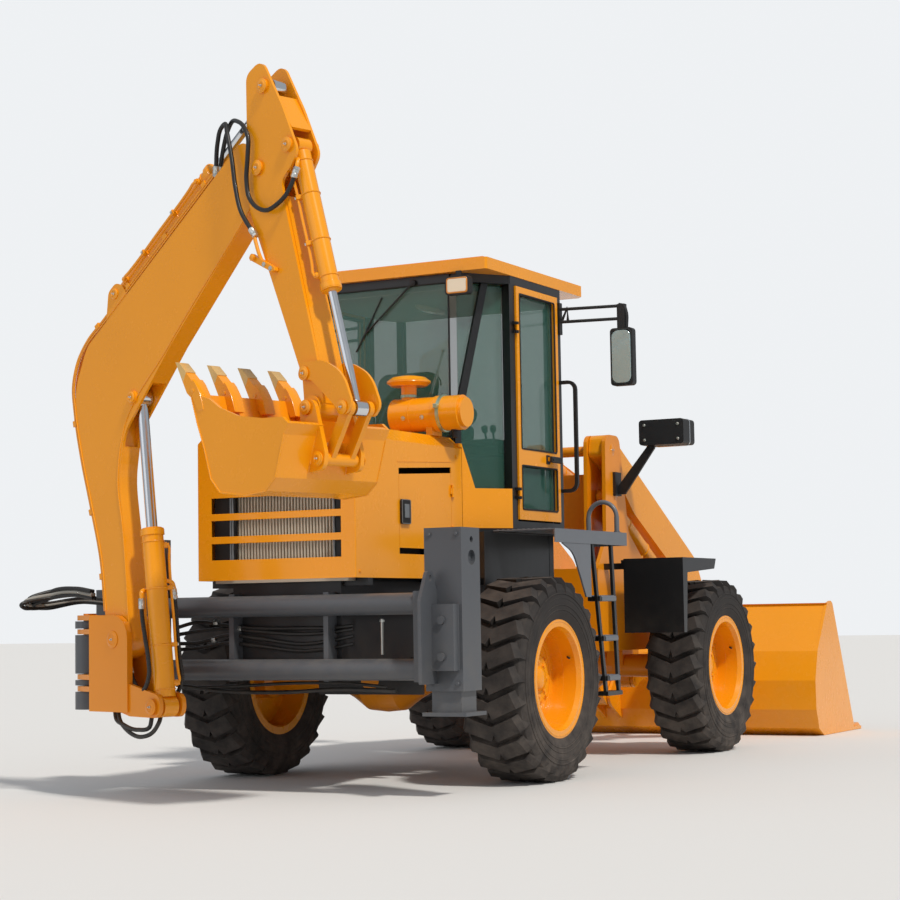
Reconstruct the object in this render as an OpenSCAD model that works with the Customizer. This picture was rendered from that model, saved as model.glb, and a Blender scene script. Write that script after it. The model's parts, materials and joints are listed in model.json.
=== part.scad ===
/* [Wheels] */
// Tyre diameter over the lug tips
tyre_d = 1170; // [1100:10:1200]
// Tyre width over the shoulders
tyre_w = 400; // [340:10:420]
// Distance between the left and right tyre centres
track = 1886; // [1840:2:1900]
// Distance between the rear and front axles
wheelbase = 2686; // [2650:2:2750]
// Number of tread bars round a tyre
lug_count = 26; // [20:1:30]
// Height of a tread bar over the carcass
lug_h = 40; // [25:1:50]
// Share of the pitch that a tread bar fills
lug_fill = 0.72; // [0.5:0.01:0.8]
// Seat diameter of the rim
rim_d = 609; // [600:1:620]
// Width of the rim over its flanges
rim_w = 356; // [330:2:370]

/* [Frames] */
// Height of the rear frame's side plates
frame_top = 1150; // [1120:5:1180]
// Half width of the frame over its side plates
frame_hw = 350; // [320:5:380]
// Distance of the hinge between the frames from the rear axle
pivot_y = 1340; // [1320:5:1360]
// Radius of the hinge pins between the frames
pivot_r = 40; // [30:1:50]
// Thickness of frame plates
plate = 25; // [16:1:30]

/* [Hood] */
// Half width of the hood
hood_hw = 506; // [480:2:520]
// Distance from the rear axle back to the grille panel
hood_back = 1230; // [1200:5:1240]
// Height of the hood's lower edge
hood_z0 = 1165; // [1160:1:1200]
// Height of the hood's top
hood_z1 = 2000; // [1950:5:2030]
// Sheet thickness of the hood
sheet = 6; // [4:1:10]

/* [Cab] */
// Half width of the cab over its pillars
cab_hw = 700; // [690:5:720]
// Height of the cab floor's upper face
cab_floor = 1510; // [1490:5:1530]
// Height of the roof's under side
roof_z = 2985; // [2900:5:3000]
// Half width of the roof
roof_hw = 705; // [700:5:730]

/* [Side shift frame] */
// Radius of the two cross tubes
tube_r = 57.5; // [45:0.5:65]
// Height of the upper cross tube
tube_z1 = 1020; // [1000:5:1040]
// Height of the lower cross tube
tube_z0 = 674; // [660:2:700]
// Distance of the cross tubes behind the rear axle
tube_y = 1210; // [1200:5:1220]
// Width of a stabiliser's outer box
stab_w = 220; // [200:5:230]
// Depth of a stabiliser's outer box
stab_d = 210; // [200:5:220]
// Wall of a stabiliser's outer box
stab_wall = 22; // [16:1:26]

/* [Backhoe] */
// Angle of the folded backhoe from straight across the machine
hoe_turn = 17; // [15:1:20]
// Half width of the boom
boom_hw = 58; // [50:1:60]
// Thickness of the dipper's side plates
dipper_plate = 16; // [12:1:20]
// Half width of the digging bucket
hoe_bucket_hw = 330; // [300:5:350]
// Radius of the boom cylinder's barrel
boom_cyl_r = 57; // [50:1:60]
// Radius of the dipper and bucket cylinders' barrels
hoe_cyl_r = 46; // [40:1:48]

/* [Loader] */
// Half width of the loader bucket
bucket_hw = 1190; // [1150:5:1200]
// Centre of a loader arm from the middle of the machine
arm_x = 490; // [470:5:500]
// Thickness of a loader arm
arm_t = 100; // [80:2:110]
// Radius of the loader cylinders' barrels
loader_cyl_r = 50; // [40:1:54]

/* [Fits] */
// Gap between seated pieces of one body
seat = 0.3; // [0.2:0.1:0.5]
// Radial clearance of a pin in its bore
run = 0.05; // [0.02:0.01:0.1]
// Side gap between pieces that move past one another
side = 5; // [5:0.5:6]

/* [Hidden] */

$fn = 48;
paint = "#eda31c";
paint_dark = "#e08a12";
grey = "#55585c";
black = "#1b1c1e";
chrome = "#c9ccd0";
rubber = "#3a3330";
glass = "#9fc8bc";

wheel_r = tyre_d / 2;
carcass_r = wheel_r - lug_h;
rim_r = rim_d / 2;
hub_face = 75;

// Kingpin of the swing post and pins of the backhoe, in the backhoe's own plane
king = [-960, -1620];
king_r = 35;
pin_f = [345, 855];
pin_g = [680, 503];
pin_h = [484, 2146];
pin_e = [1570, 3210];
pin_c = [320, 2725];
pin_t = [1615, 3620];
pin_b = [1800, 3290];
pin_d1 = [1926, 2137];
pin_d2 = [1975, 1965];
pin_r = [2200, 1950];
pin_l = [2060, 1712];
hoe_corner_u = 2070;

// Pins of the loader, along the machine and in height
arm_a = [2080, 2050];
arm_b = [4220, 300];
lift_c = [2120, 1740];
lift_d = [3300, 1100];
lever_p = [3685, 1110];
lever_l = [3567, 454];
lever_u = [3800, 1560];
link_q = [4245, 588];
bucket_tip = 5560;

// Shift that puts the middle of the machine's length at the origin
hoe_back = -king[1] + hoe_corner_u * sin(hoe_turn) + hoe_bucket_hw * cos(hoe_turn);
mid_y = (bucket_tip - hoe_back) / 2;

module place() {
    translate([0, -mid_y, 0]) children();
}

// The backhoe's plane: x runs out from the kingpin, y across, z up
module hoe() {
    place() translate([king[0], king[1], 0]) rotate([0, 0, -hoe_turn]) children();
}

module both() {
    children();
    mirror([1, 0, 0]) children();
}

module box(x0, x1, y0, y1, z0, z1) {
    translate([x0, y0, z0]) cube([x1 - x0, y1 - y0, z1 - z0]);
}

// Outline of (x, z) points with its thickness from y0 to y1
module slab(y0, y1) {
    translate([0, y1, 0]) rotate([90, 0, 0]) linear_extrude(y1 - y0) children();
}

// Outline of (y, z) points with its thickness from x0 to x1
module wall(x0, x1) {
    translate([x0, 0, 0]) rotate([90, 0, 90]) linear_extrude(x1 - x0) children();
}

// Round bar across the backhoe's plane
module cross(p, r, y0, y1) {
    translate([p[0], y1, p[1]]) rotate([90, 0, 0]) cylinder(r = r, h = y1 - y0);
}

// Round bar across the machine
module axle(p, r, x0, x1) {
    translate([x0, p[0], p[1]]) rotate([0, 90, 0]) cylinder(r = r, h = x1 - x0);
}

function dist(a, b) = norm(b - a);
function heading(a, b) = atan2(b[1] - a[1], b[0] - a[0]);

// Corner points with an arc of radius r at each corner
function arc_corner(a, b, c, r, n = 5) =
    let (u = (a - b) / norm(a - b), v = (c - b) / norm(c - b))
    let (half = acos(u * v) / 2, t = r / tan(half))
    let (m = (u + v) / norm(u + v), o = b + m * r / sin(half))
    let (s = heading(o, b + u * t), e = heading(o, b + v * t))
    let (turn = (e - s + 540) % 360 - 180)
    [for (i = [0:n]) o + r * [cos(s + turn * i / n), sin(s + turn * i / n)]];

// Outline whose entries are [x, y] or [x, y, radius]
function rounded(p) = [
    for (i = [0:len(p) - 1])
        let (a = p[(i + len(p) - 1) % len(p)], b = p[i], c = p[(i + 1) % len(p)])
        each len(b) == 2
            ? [b]
            : arc_corner([a[0], a[1]], [b[0], b[1]], [c[0], c[1]], b[2])
];

// Cylinder barrel in a plane: eye at its foot, bored for the rod
module barrel(r, len, rod_r, eye_r, eye_w, pin_r) {
    difference() {
        union() {
            rotate([90, 0, 0]) cylinder(r = eye_r, h = eye_w, center = true);
            translate([eye_r - 8, 0, 0]) rotate([0, 90, 0]) cylinder(r = r, h = len - eye_r - 22);
            translate([len - 34, 0, 0]) rotate([0, 90, 0]) cylinder(r = r + 5, h = 34);
        }
        rotate([90, 0, 0]) cylinder(r = pin_r + run, h = eye_w + 2, center = true);
        translate([eye_r + 20, 0, 0]) rotate([0, 90, 0]) cylinder(r = rod_r + 0.5, h = len);
    }
}

// Cylinder rod in a plane, from s0 to the eye at len
module rod(r, s0, len, eye_r, eye_w) {
    translate([s0, 0, 0]) rotate([0, 90, 0]) cylinder(r = r, h = len - s0);
    translate([len, 0, 0]) rotate([90, 0, 0]) cylinder(r = eye_r, h = eye_w, center = true);
}

// Lays a part drawn along x onto the line from a to b of the backhoe's plane
module along(a, b) {
    translate([a[0], 0, a[1]]) rotate([0, -heading(a, b), 0]) children();
}

// The same for a line from a to b in the machine's side view, at x
module along_side(a, b, x) {
    translate([x, a[0], a[1]]) rotate([heading(a, b), 0, 0]) rotate([0, 0, 90]) children();
}

// Wheels

module tyre() {
    shoulder = tyre_w / 2;
    bead = rim_w / 2 - 14;
    pitch = 2 * PI * wheel_r / lug_count;
    lug_turn = 22;
    half = pitch * lug_fill / 2 * cos(lug_turn);
    lug_x = (shoulder - half * sin(lug_turn)) / cos(lug_turn);
    shift = shoulder / 2 * tan(lug_turn);
    reach = half * cos(lug_turn) + shift;
    top_r = sqrt(wheel_r * wheel_r - reach * reach);
    tip = asin(reach / wheel_r);
    ring = [
        [rim_r + seat, bead], [rim_r + 34, bead], [rim_r + 34, bead + 16], [rim_r + 75, shoulder - 4],
        [rim_r + 140, shoulder], [carcass_r - 40, shoulder - 6], [carcass_r - 8, shoulder - 22],
        [carcass_r, shoulder - 50]
    ];
    flip = [for (i = [len(ring) - 1:-1:0]) [ring[i][0], -ring[i][1]]];
    rotate([0, 90, 0]) rotate_extrude($fn = 64) polygon(concat(ring, flip));
    for (i = [0:lug_count - 1], s = [0, 1])
        rotate([i * 360 / lug_count + 180 - tip, 0, 0]) mirror([s, 0, 0])
            translate([0, -shift, 0]) rotate([0, 0, lug_turn]) slab(-half, half) polygon([
                [0, carcass_r - 30], [0, top_r], [lug_x - 30, top_r], [lug_x - 6, top_r - 30],
                [lug_x, top_r - 85], [lug_x - 20, carcass_r - 60]
            ]);
}

module rim() {
    hw = rim_w / 2;
    flange_r = rim_r + 33;
    rotate([0, 90, 0]) rotate_extrude($fn = 64) polygon([
        [0, -hub_face], [120, -hub_face], [120, -20], [rim_r - 12, -20], [rim_r - 12, -hw],
        [flange_r, -hw], [flange_r, -hw + 13], [rim_r, -hw + 13], [rim_r, hw - 13],
        [flange_r, hw - 13], [flange_r, hw], [rim_r - 8, hw], [rim_r - 20, hw - 28],
        [rim_r - 20, 0], [150, 0], [150, 25], [132, 41], [0, 41]
    ]);
    for (i = [0:11]) rotate([i * 30, 0, 0]) axle([0, 190], 10, -2, 14);
}

module wheel_at(right, front) {
    place() mirror([right ? 0 : 1, 0, 0])
        translate([track / 2, front ? wheelbase : 0, wheel_r]) children();
}

module tyre_rr() { color(rubber) wheel_at(true, false) tyre(); }
module tyre_rl() { color(rubber) wheel_at(false, false) tyre(); }
module tyre_fr() { color(rubber) wheel_at(true, true) tyre(); }
module tyre_fl() { color(rubber) wheel_at(false, true) tyre(); }
module rim_rr() { color(paint) wheel_at(true, false) rim(); }
module rim_rl() { color(paint) wheel_at(false, false) rim(); }
module rim_fr() { color(paint) wheel_at(true, true) rim(); }
module rim_fl() { color(paint) wheel_at(false, true) rim(); }

// Axle housing with its differential, centred on its axis
module axle_body() {
    end = track / 2 - hub_face - 0.5;
    rotate([0, 90, 0]) rotate_extrude($fn = 48) polygon([
        [0, -end], [118, -end], [118, -end + 60], [85, -end + 100], [75, -300], [120, -210],
        [185, -110], [195, 0], [185, 110], [120, 210], [75, 300], [85, end - 100],
        [118, end - 60], [118, end], [0, end]
    ]);
}

module rear_axle() {
    color(paint_dark) place() translate([0, 0, wheel_r]) {
        axle_body();
        translate([0, 225, 0]) rotate([90, 0, 0]) cylinder(r = 60, h = 450);
    }
}

module front_axle() {
    color(paint_dark) place() translate([0, wheelbase, wheel_r]) {
        axle_body();
        for (x = [-330, 330]) box(x - 60, x + 60, -90, 90, 0, 700 - wheel_r - seat);
    }
}

// Rear frame with the cradle of the rear axle

pivot_lugs = [[960, 1000], [640, 680]];
well_x = cab_hw - 7;
beam_z = 1125;

module rear_frame() {
    cradle = [
        [-1120, 620], [-1120, frame_top], [950, frame_top], [1100, 1010], [1100, 620],
        [700, 560], [350, 720], [-350, 720], [-700, 620]
    ];
    color(grey) place() difference() {
        union() {
            both() wall(frame_hw - plate, frame_hw) polygon(cradle);
            box(-frame_hw, frame_hw, -1120, -1120 + plate, 620, frame_top);
            box(-frame_hw, frame_hw, 1100 - plate, 1100, 620, 1010);
            for (y = [-200 - plate, 200]) box(-frame_hw, frame_hw, y, y + plate, 500, 860);
            for (y = [-700, -150]) box(-frame_hw, frame_hw, y, y + 60, 860, 900);
            box(-hood_hw, hood_hw, -1095, -1045, beam_z, hood_z0);
            both() box(260, hood_hw, -80, -30, beam_z, hood_z0);
            for (y = [150, 800]) box(-well_x + seat, well_x - seat, y, y + 60, frame_top - 20, cab_floor - 70 - seat);
            for (z = pivot_lugs) {
                translate([0, 0, z[0]]) linear_extrude(z[1] - z[0])
                    polygon([[-200, 1090], [200, 1090], [88, pivot_y], [-88, pivot_y]]);
                translate([0, pivot_y, z[0]]) cylinder(r = 88, h = z[1] - z[0]);
            }
        }
        translate([0, pivot_y, 600]) cylinder(r = pivot_r + run, h = 450);
        translate([0, 300, wheel_r]) rotate([90, 0, 0]) cylinder(r = 60 + seat, h = 600);
    }
}

module engine() {
    color(grey) place() {
        box(-250, 250, -740, -40, 900 + seat, 1700);
        box(-180, 180, -41, 420, 900 + seat, 1100);
    }
}

module radiator() {
    color("#b9b0a0") place() {
        box(-430, 430, -1175, -1100, frame_top + seat, frame_top + 50);
        box(-430, 430, -1175, -1100, 1850, 1890);
        for (x = [-430, 400]) box(x, x + 30, -1175, -1100, frame_top + 40, 1860);
        box(-400, 400, -1150, -1120, frame_top + 40, 1860);
        for (i = [0:39]) box(-398 + i * 20.2, -390 + i * 20.2, -1170, -1149, 1195, 1852);
    }
}

// Hood: a folded shell, open at the cab, with the grille in its rear panel

grille_x = 420;
grille_rows = [[1275, 1372], [1405, 1500], [1532, 1625]];
door_y0 = -745;
door_y1 = -125;
door_z0 = 1300;
door_z1 = 1778;
hinge_x = 9;

// Outline of a hood door, t inside its opening, with slots of slot_h left over and under it
function door_outline(t, slot_h = 0) = [
    [door_y0 + t, door_z0 + slot_h], [door_y0 + t, door_z1 - slot_h],
    [door_y1 - t, door_z1 + 36 - slot_h], [door_y1 - t, door_z0 + slot_h]
];

function hood_outline(t) = [
    [-hood_hw + t, hood_z0 - 1], [-hood_hw + t, hood_z1 - 70 - t / 2],
    [-hood_hw + 76 + t / 2, hood_z1 - t], [hood_hw - 76 - t / 2, hood_z1 - t],
    [hood_hw - t, hood_z1 - 70 - t / 2], [hood_hw - t, hood_z0 - 1]
];

module hood() {
    color(paint) place() {
        difference() {
            slab(-hood_back, 10) polygon(hood_outline(0));
            slab(-hood_back + sheet, 20) polygon(hood_outline(sheet));
            box(-hood_hw, hood_hw, -hood_back - 1, 20, hood_z0 - 5, hood_z0 + seat);
            for (r = grille_rows) box(-grille_x, grille_x, -hood_back - 1, -hood_back + 10, r[0], r[1]);
            both() wall(480, 520) polygon(door_outline(0));
        }
        both() {
            shoulder();
            for (z = [1400, 1640]) hinge_fixed(hood_hw + hinge_x, door_y1 + 4, z, 1);
        }
    }
}

// Shoulder between the hood's side and the cab's corner, with its sloping top
module shoulder() {
    top = [[0, 1962], [86, 1700], [corner_len, 1700]];
    on_corner() {
        slab(0, sheet) polygon(concat([[0, 1465]], top, [[corner_len, 1465]]));
        difference() {
            slab(0, corner_in) polygon(concat(top, [[corner_len, 1694], [82, 1694], [-4, 1956]]));
            box(-20, pillar_foot + seat, corner_in - pillar_out - seat, corner_in + 1, 1600, 2010);
        }
    }
    box(hood_hw - 60, hood_hw, -24, 12, 1940, 1962);
}

// Hinge parts on a vertical pin at (x, y): two end knuckles with the pin, and one between them
module hinge_fixed(x, y, z, dir) {
    translate([x, y, z]) cylinder(r = 5, h = 70);
    for (dz = [0, 53]) {
        translate([x, y, z + dz]) cylinder(r = 9, h = 17);
        box(x - 10, x, dir > 0 ? y : y - 22, dir > 0 ? y + 22 : y, z + dz, z + dz + 17);
    }
}

module hinge_moving(x, y, z, dir) {
    difference() {
        union() {
            translate([x, y, z + 18]) cylinder(r = 9, h = 34);
            box(x - 8, x, dir > 0 ? y : y - 22, dir > 0 ? y + 22 : y, z + 18, z + 52);
            box(x - 11, x - 7, dir > 0 ? y + 8 : y - 22, dir > 0 ? y + 22 : y - 9, z + 18, z + 52);
        }
        translate([x, y, z]) cylinder(r = 5 + run, h = 80);
    }
}

module hood_door() {
    wall(hood_hw - sheet, hood_hw) polygon(door_outline(3, 34));
    box(hood_hw, hood_hw + 12, door_y0 + 20, door_y0 + 95, 1480, 1590);
    for (z = [1400, 1640]) hinge_moving(hood_hw + hinge_x, door_y1 + 4, z, -1);
}

module hood_door_r() { color(paint) place() hood_door(); }
module hood_door_l() { color(paint) place() mirror([1, 0, 0]) hood_door(); }

module air_cleaner() {
    y = -165;
    z = 2128;
    color(paint) place() {
        axle([y, z], 100, 165, 455);
        axle([y, z], 106, 450, 500);
        axle([y, z], 102, 498, 618);
        axle([y, z], 86, 616, 640);
        translate([257, y, z]) cylinder(r = 46, h = 190);
        translate([257, y, z + 172]) rotate_extrude() polygon([
            [0, 0], [104, 0], [128, 18], [130, 30], [100, 52], [40, 64], [0, 66]
        ]);
        for (x = [180, 400]) box(x, x + 40, y - 60, y + 60, hood_z1 + seat, z - 60);
    }
}

module rear_fenders() {
    color(black) place() both() {
        box(hood_hw + seat, well_x + sheet, -92, -84, hood_z0, 1434);
        box(hood_hw + seat, well_x + sheet, -92, 20, 1428, 1434);
        box(well_x, well_x + sheet, -92, 780, 1120, 1438.7);
        box(well_x, 738, 20, 780, 1432, 1438.7);
    }
}

handle_x = 950;
handle_y = 1036;
handle_r = 95;

module platforms() {
    top = 1445;
    color(grey) place() both() {
        difference() {
            box(cab_hw + 3, 1100, 20, 1060, 1365, top);
            box(cab_hw, 1100 - sheet, 10, 1060 - sheet, 1360, top - sheet);
        }
        wall(1087, 1097) polygon(rounded([
            [125, top - 1], [125, 1362, 20], [280, 1310, 180], [450, 1050], [520, 1050], [520, top - 1]
        ]));
        for (x = [-handle_r, handle_r])
            translate([handle_x + x, handle_y, top - 3]) cylinder(r = 15.5, h = 105);
        translate([handle_x, handle_y, top + 99]) rotate([90, 0, 0]) rotate_extrude(angle = 180, $fn = 32)
            translate([handle_r, 0]) circle(r = 14, $fn = 16);
    }
}

module ladders() {
    rail_x = 1050;
    rails = [[590, 1438.7], [770, 480], [880, 1438.7], [960, 480]];
    color(black) place() both() {
        for (r = [[rails[0], rails[1]], [rails[2], rails[3]]])
            wall(rail_x, rail_x + 18) polygon([
                r[0], [r[0][0] + 30, r[0][1]], [r[1][0] + 30, r[1][1]], r[1]
            ]);
        for (z = [1040, 800, 560])
            box(1000, 1080, 602 + (1438.7 - z) * 0.188, 892 + (1438.7 - z) * 0.083, z - 14, z + 14);
        box(1000, 1080, 770, 990, 455, 481);
    }
}

module side_tanks() {
    color(grey) place() both() {
        difference() {
            box(frame_hw + seat, 740, 700, 1180, 520, 1040);
            box(600, 800, 900, 950, 1000, 1100);
        }
        axle([1100, 900], 28, 738, 752);
    }
}

// Cab

cab_back = 30;
corner_y = 287;
corner_in = 85;
pillar_foot = 30;
pillar_out = 24;
door_back = corner_y + 78;
door_front = 948;
cab_front = 1190;
rail_z = roof_z - 50;
hinge_zs = [1640, 2640];

// Slanting corner between the hood's side and the door, drawn along x from the hood
corner_a = [hood_hw, 15];
corner_b = [cab_hw, corner_y];
corner_len = dist(corner_a, corner_b);
corner_turn = heading(corner_a, corner_b);

module on_corner() {
    translate([corner_a[0], corner_a[1], 0]) rotate([0, 0, corner_turn]) children();
}

function corner_at(s, t) = corner_a + s * [cos(corner_turn), sin(corner_turn)]
    + t * [-sin(corner_turn), cos(corner_turn)];

// Half of the cab's plan, from the rear to the front
function half_plan(t) = [
    corner_at(t, t), corner_at(corner_len, t), [cab_hw, corner_y + t], [cab_hw, 1010],
    [560, cab_front]
];

function plan(t) = let (h = half_plan(t))
    concat(h, [for (i = [len(h) - 1:-1:0]) [-h[i][0], h[i][1]]]);

module cab_shell() {
    color(black) place() {
        translate([0, 0, cab_floor - 70]) linear_extrude(70) polygon(plan(sheet + seat));
        difference() {
            translate([0, 0, rail_z]) linear_extrude(50) polygon(plan(20));
            translate([0, 0, rail_z - 1]) linear_extrude(52) offset(delta = -50) polygon(plan(20));
        }
        both() {
            // Rear, front and windscreen pillars
            translate([0, 0, cab_floor]) linear_extrude(rail_z - cab_floor) polygon([
                corner_at(corner_len + seat, corner_in + 8), corner_at(corner_len + seat, corner_in + seat),
                [cab_hw - 2, corner_y + sheet + seat], [cab_hw, door_back - 5], [cab_hw - 60, door_back - 5]
            ]);
            box(cab_hw - 45, cab_hw, door_front + 5, 1010, cab_floor, rail_z);
            box(515, 560, cab_front - 45, cab_front, cab_floor, rail_z);
            on_corner() slab(corner_in - pillar_out, corner_in + 2) polygon([
                [-10, cab_floor], [pillar_foot, cab_floor], [pillar_foot, 2090], [225, rail_z + 1],
                [180, rail_z + 1], [-10, 2130]
            ]);
            on_corner() box(20, corner_len + 4, corner_in + seat, corner_in + 20, cab_floor, 1693);
            for (z = hinge_zs) {
                hinge_fixed(cab_hw + 19, door_back - 6, z, -1);
                box(cab_hw - 5, cab_hw + 11, door_back - 35, door_back - 14, z, z + 17);
                box(cab_hw - 5, cab_hw + 11, door_back - 35, door_back - 14, z + 53, z + 70);
            }
        }
        box(-440, 440, cab_back, cab_back + 20, cab_floor, 2006);
        box(-430, 430, cab_back, cab_back + 30, rail_z, roof_z);
        box(-530, 530, cab_front - 25, cab_front, cab_floor, 1700);
    }
}

// Upright sheet from one plan point to another
module linear_between(a, b, t, z0, z1) {
    translate([a[0], a[1], z0]) rotate([0, 0, heading(a, b)])
        cube([dist(a, b), t, z1 - z0]);
}

module cab_roof() {
    color(paint) place() translate([0, 0, roof_z + seat]) {
        linear_extrude(70) polygon([
            [-roof_hw, 0], [-roof_hw + 12, -12], [roof_hw - 12, -12], [roof_hw, 0],
            [roof_hw, 1330], [roof_hw - 40, 1375], [40 - roof_hw, 1375], [-roof_hw, 1330]
        ]);
        translate([0, 0, 70]) linear_extrude(18) polygon([
            [-roof_hw + 60, 60], [roof_hw - 60, 60], [roof_hw - 60, 1290], [-roof_hw + 60, 1290]
        ]);
    }
}

module cab_glass() {
    color(glass, 0.5) place() {
        box(-425, 425, cab_back + 6, cab_back + 12, 2006 + seat, rail_z - seat);
        box(-514.5, 514.5, cab_front - 14, cab_front - 8, 1700 + seat, rail_z - seat);
        both() {
            on_corner() box(30, corner_len - 2, corner_in + 8, corner_in + 14, 1694, rail_z - seat);
            linear_between([566, cab_front - 30], [cab_hw - 8, 1014], 6, cab_floor + seat, rail_z - seat);
        }
    }
}

door_x0 = cab_hw - 15;
door_x1 = cab_hw + 10;
pane_low = [cab_floor + 70, 1850];
pane_high = [1945, rail_z - 45];

module cab_door() {
    difference() {
        box(door_x0, door_x1, door_back, door_front, cab_floor + 10, rail_z - 5);
        for (p = [pane_low, pane_high])
            box(door_x0 - 1, door_x1 + 1, door_back + 38, door_front - 45, p[0], p[1]);
    }
    box(door_x1, door_x1 + 34, door_front - 190, door_front - 175, 1890, 1915);
    box(door_x1 + 22, door_x1 + 36, door_front - 190, door_front - 60, 1885, 1915);
    for (z = hinge_zs) hinge_moving(door_x1 + hinge_x, door_back - 6, z, 1);
}

// The two panes with a thin strip between them, inside the door's frame
module door_glass() {
    for (p = [pane_low, pane_high])
        box(door_x0 - 6.3, door_x0 - seat, door_back + 28, door_front - 35, p[0] - 10, p[1] + 10);
    box(door_x0 - 6.3, door_x0 - seat, door_back + 300, door_front - 240, p_mid[0], p_mid[1]);
}

p_mid = [pane_low[1], pane_high[0]];

module cab_door_r() { color(paint) place() cab_door(); }
module cab_door_l() { color(paint) place() mirror([1, 0, 0]) cab_door(); }
module door_glass_r() { color(glass, 0.5) place() door_glass(); }
module door_glass_l() { color(glass, 0.5) place() mirror([1, 0, 0]) door_glass(); }

module seat_unit() {
    color(black) place() {
        box(-180, 180, 250, 600, cab_floor + seat, 1760);
        translate([-240, 220, 1760]) cube([480, 470, 110]);
        translate([0, 250, 1850]) rotate([-10, 0, 0]) box(-230, 230, -100, 0, 0, 620);
    }
}

module controls() {
    color(black) place() {
        box(-300, 300, 900, 1060, cab_floor + seat, 2020);
        translate([0, 905, 1990]) rotate([35, 0, 0]) cylinder(r = 30, h = 230);
        translate([0, 905, 1990]) rotate([35, 0, 0]) translate([0, 0, 225]) {
            rotate_extrude($fn = 48) translate([190, 0]) circle(r = 14, $fn = 16);
            cylinder(r = 35, h = 20);
            for (a = [0:120:359]) rotate([0, 0, a]) box(0, 190, -10, 10, -5, 8);
        }
    }
}

module cab_fittings() {
    color(black) place() {
        both() {
            // Mirror arm of two bars and its head
            box(cab_hw + seat, cab_hw + 20, 960, 1000, 2700, 2900);
            for (z = [2860, 2780])
                translate([cab_hw + 15, 980, z]) rotate([0, 0, 10]) rotate([0, 90, 0]) cylinder(r = 10, h = 390);
            box(1080, 1130, 1030, 1070, 2700, 2870);
            rounded_block(1030, 1180, 1030, 1085, 2360, 2720);
            // Grab rail, bent at both ends to the front pillar
            translate([0, 995, 0]) slab(-11, 11) polygon(rounded([
                [cab_hw + seat, 1706], [812, 1706, 60], [812, 2410, 60], [cab_hw + seat, 2410],
                [cab_hw + seat, 2388], [790, 2388, 38], [790, 1728, 38], [cab_hw + seat, 1728]
            ]));
            // Rear work lamp under the roof edge
            rounded_block(446, 606, -50, -2, 2840, 2950);
            box(510, 540, -30, -12, 2945, roof_z);
        }
    }
}

// Block with its four upright edges rounded, seen from the rear
module rounded_block(x0, x1, y0, y1, z0, z1) {
    slab(y0, y1) polygon(rounded([[x0, z0, 22], [x1, z0, 22], [x1, z1, 22], [x0, z1, 22]]));
}

// Front frame: four tower plates on a box, hinged behind to the rear frame

tower_in = arm_x - arm_t / 2 - side - plate;
tower_out = arm_x + arm_t / 2 + side;

module front_frame() {
    tower = rounded([
        [1800, 700], [1800, 1250, 60], [1950, 1450, 80], [1965, 2150, 70], [2200, 2150, 70],
        [2330, 1500, 120], [3000, 1000, 60], [3060, 700]
    ]);
    color(paint_dark) place() difference() {
        union() {
            both() {
                wall(tower_in, tower_in + plate) polygon(tower);
                wall(tower_out, tower_out + plate) polygon(tower);
            }
            box(-tower_out - plate, tower_out + plate, 1800, 1825, 700, 1250);
            box(-tower_out - plate, tower_out + plate, 3035, 3060, 700, 960);
            for (x = [-tower_out - plate, 240]) box(x, x + tower_out + plate - 240, 1800, 3060, 700, 725);
            for (y = [1800, 2900]) box(-250, 250, y, y + (y == 1800 ? 670 : 160), 700, 725);
            box(-tower_in - plate, tower_in + plate, 2175, 2200, 1500, 1900);
            both() box(230, 255, 1400, 1820, 600, 1045);
            for (z = pivot_lugs) for (s = [[z[0] - 38, z[0] - 4], [z[1] + 4, z[1] + 38]]) {
                translate([0, 0, s[0]]) linear_extrude(s[1] - s[0])
                    polygon([[-255, 1480], [255, 1480], [80, pivot_y], [-80, pivot_y]]);
                translate([0, pivot_y, s[0]]) cylinder(r = 80, h = s[1] - s[0]);
                box(-255, 255, 1480, 1810, s[0], s[1]);
            }
            for (z = pivot_lugs) translate([0, pivot_y, z[0] - 38]) cylinder(r = pivot_r, h = z[1] - z[0] + 76);
            axle(arm_a, 35, -tower_out - plate, tower_out + plate);
            both() axle(lift_c, 25, tower_in, tower_out + plate);
        }
    }
}

module front_fenders() {
    top = wheel_r * 2 + 130;
    color(black) place() both() {
        box(720, 1140, 1880, 1888, 820, top);
        box(720, 1140, 1880, 2480, top, top + 8);
        wall(1132, 1140) polygon([[1880, 820], [1880, top + 2], [2480, top + 2], [2450, top - 60], [1960, top - 90], [1930, 820]]);
        box(tower_out + plate + seat, 722, 1900, 1960, top - 60, top - 20);
        box(700, 722, 1886, 1960, top - 60, top);
    }
}

module headlamps() {
    color(black) place() both() {
        box(tower_out + plate + seat, tower_out + plate + 20, 2080, 2180, 1740, 1900);
        slab(2120, 2140) polygon([[tower_out + plate + 15, 1800], [tower_out + plate + 15, 1750], [640, 1750], [860, 2050], [860, 2090], [830, 2090]]);
        rounded_block(760, 1080, 2100, 2300, 2070, 2240);
    }
}

// Loader arms, bucket and linkage

arm_in = arm_x - arm_t / 2;
arm_out = arm_x + arm_t / 2;

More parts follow.
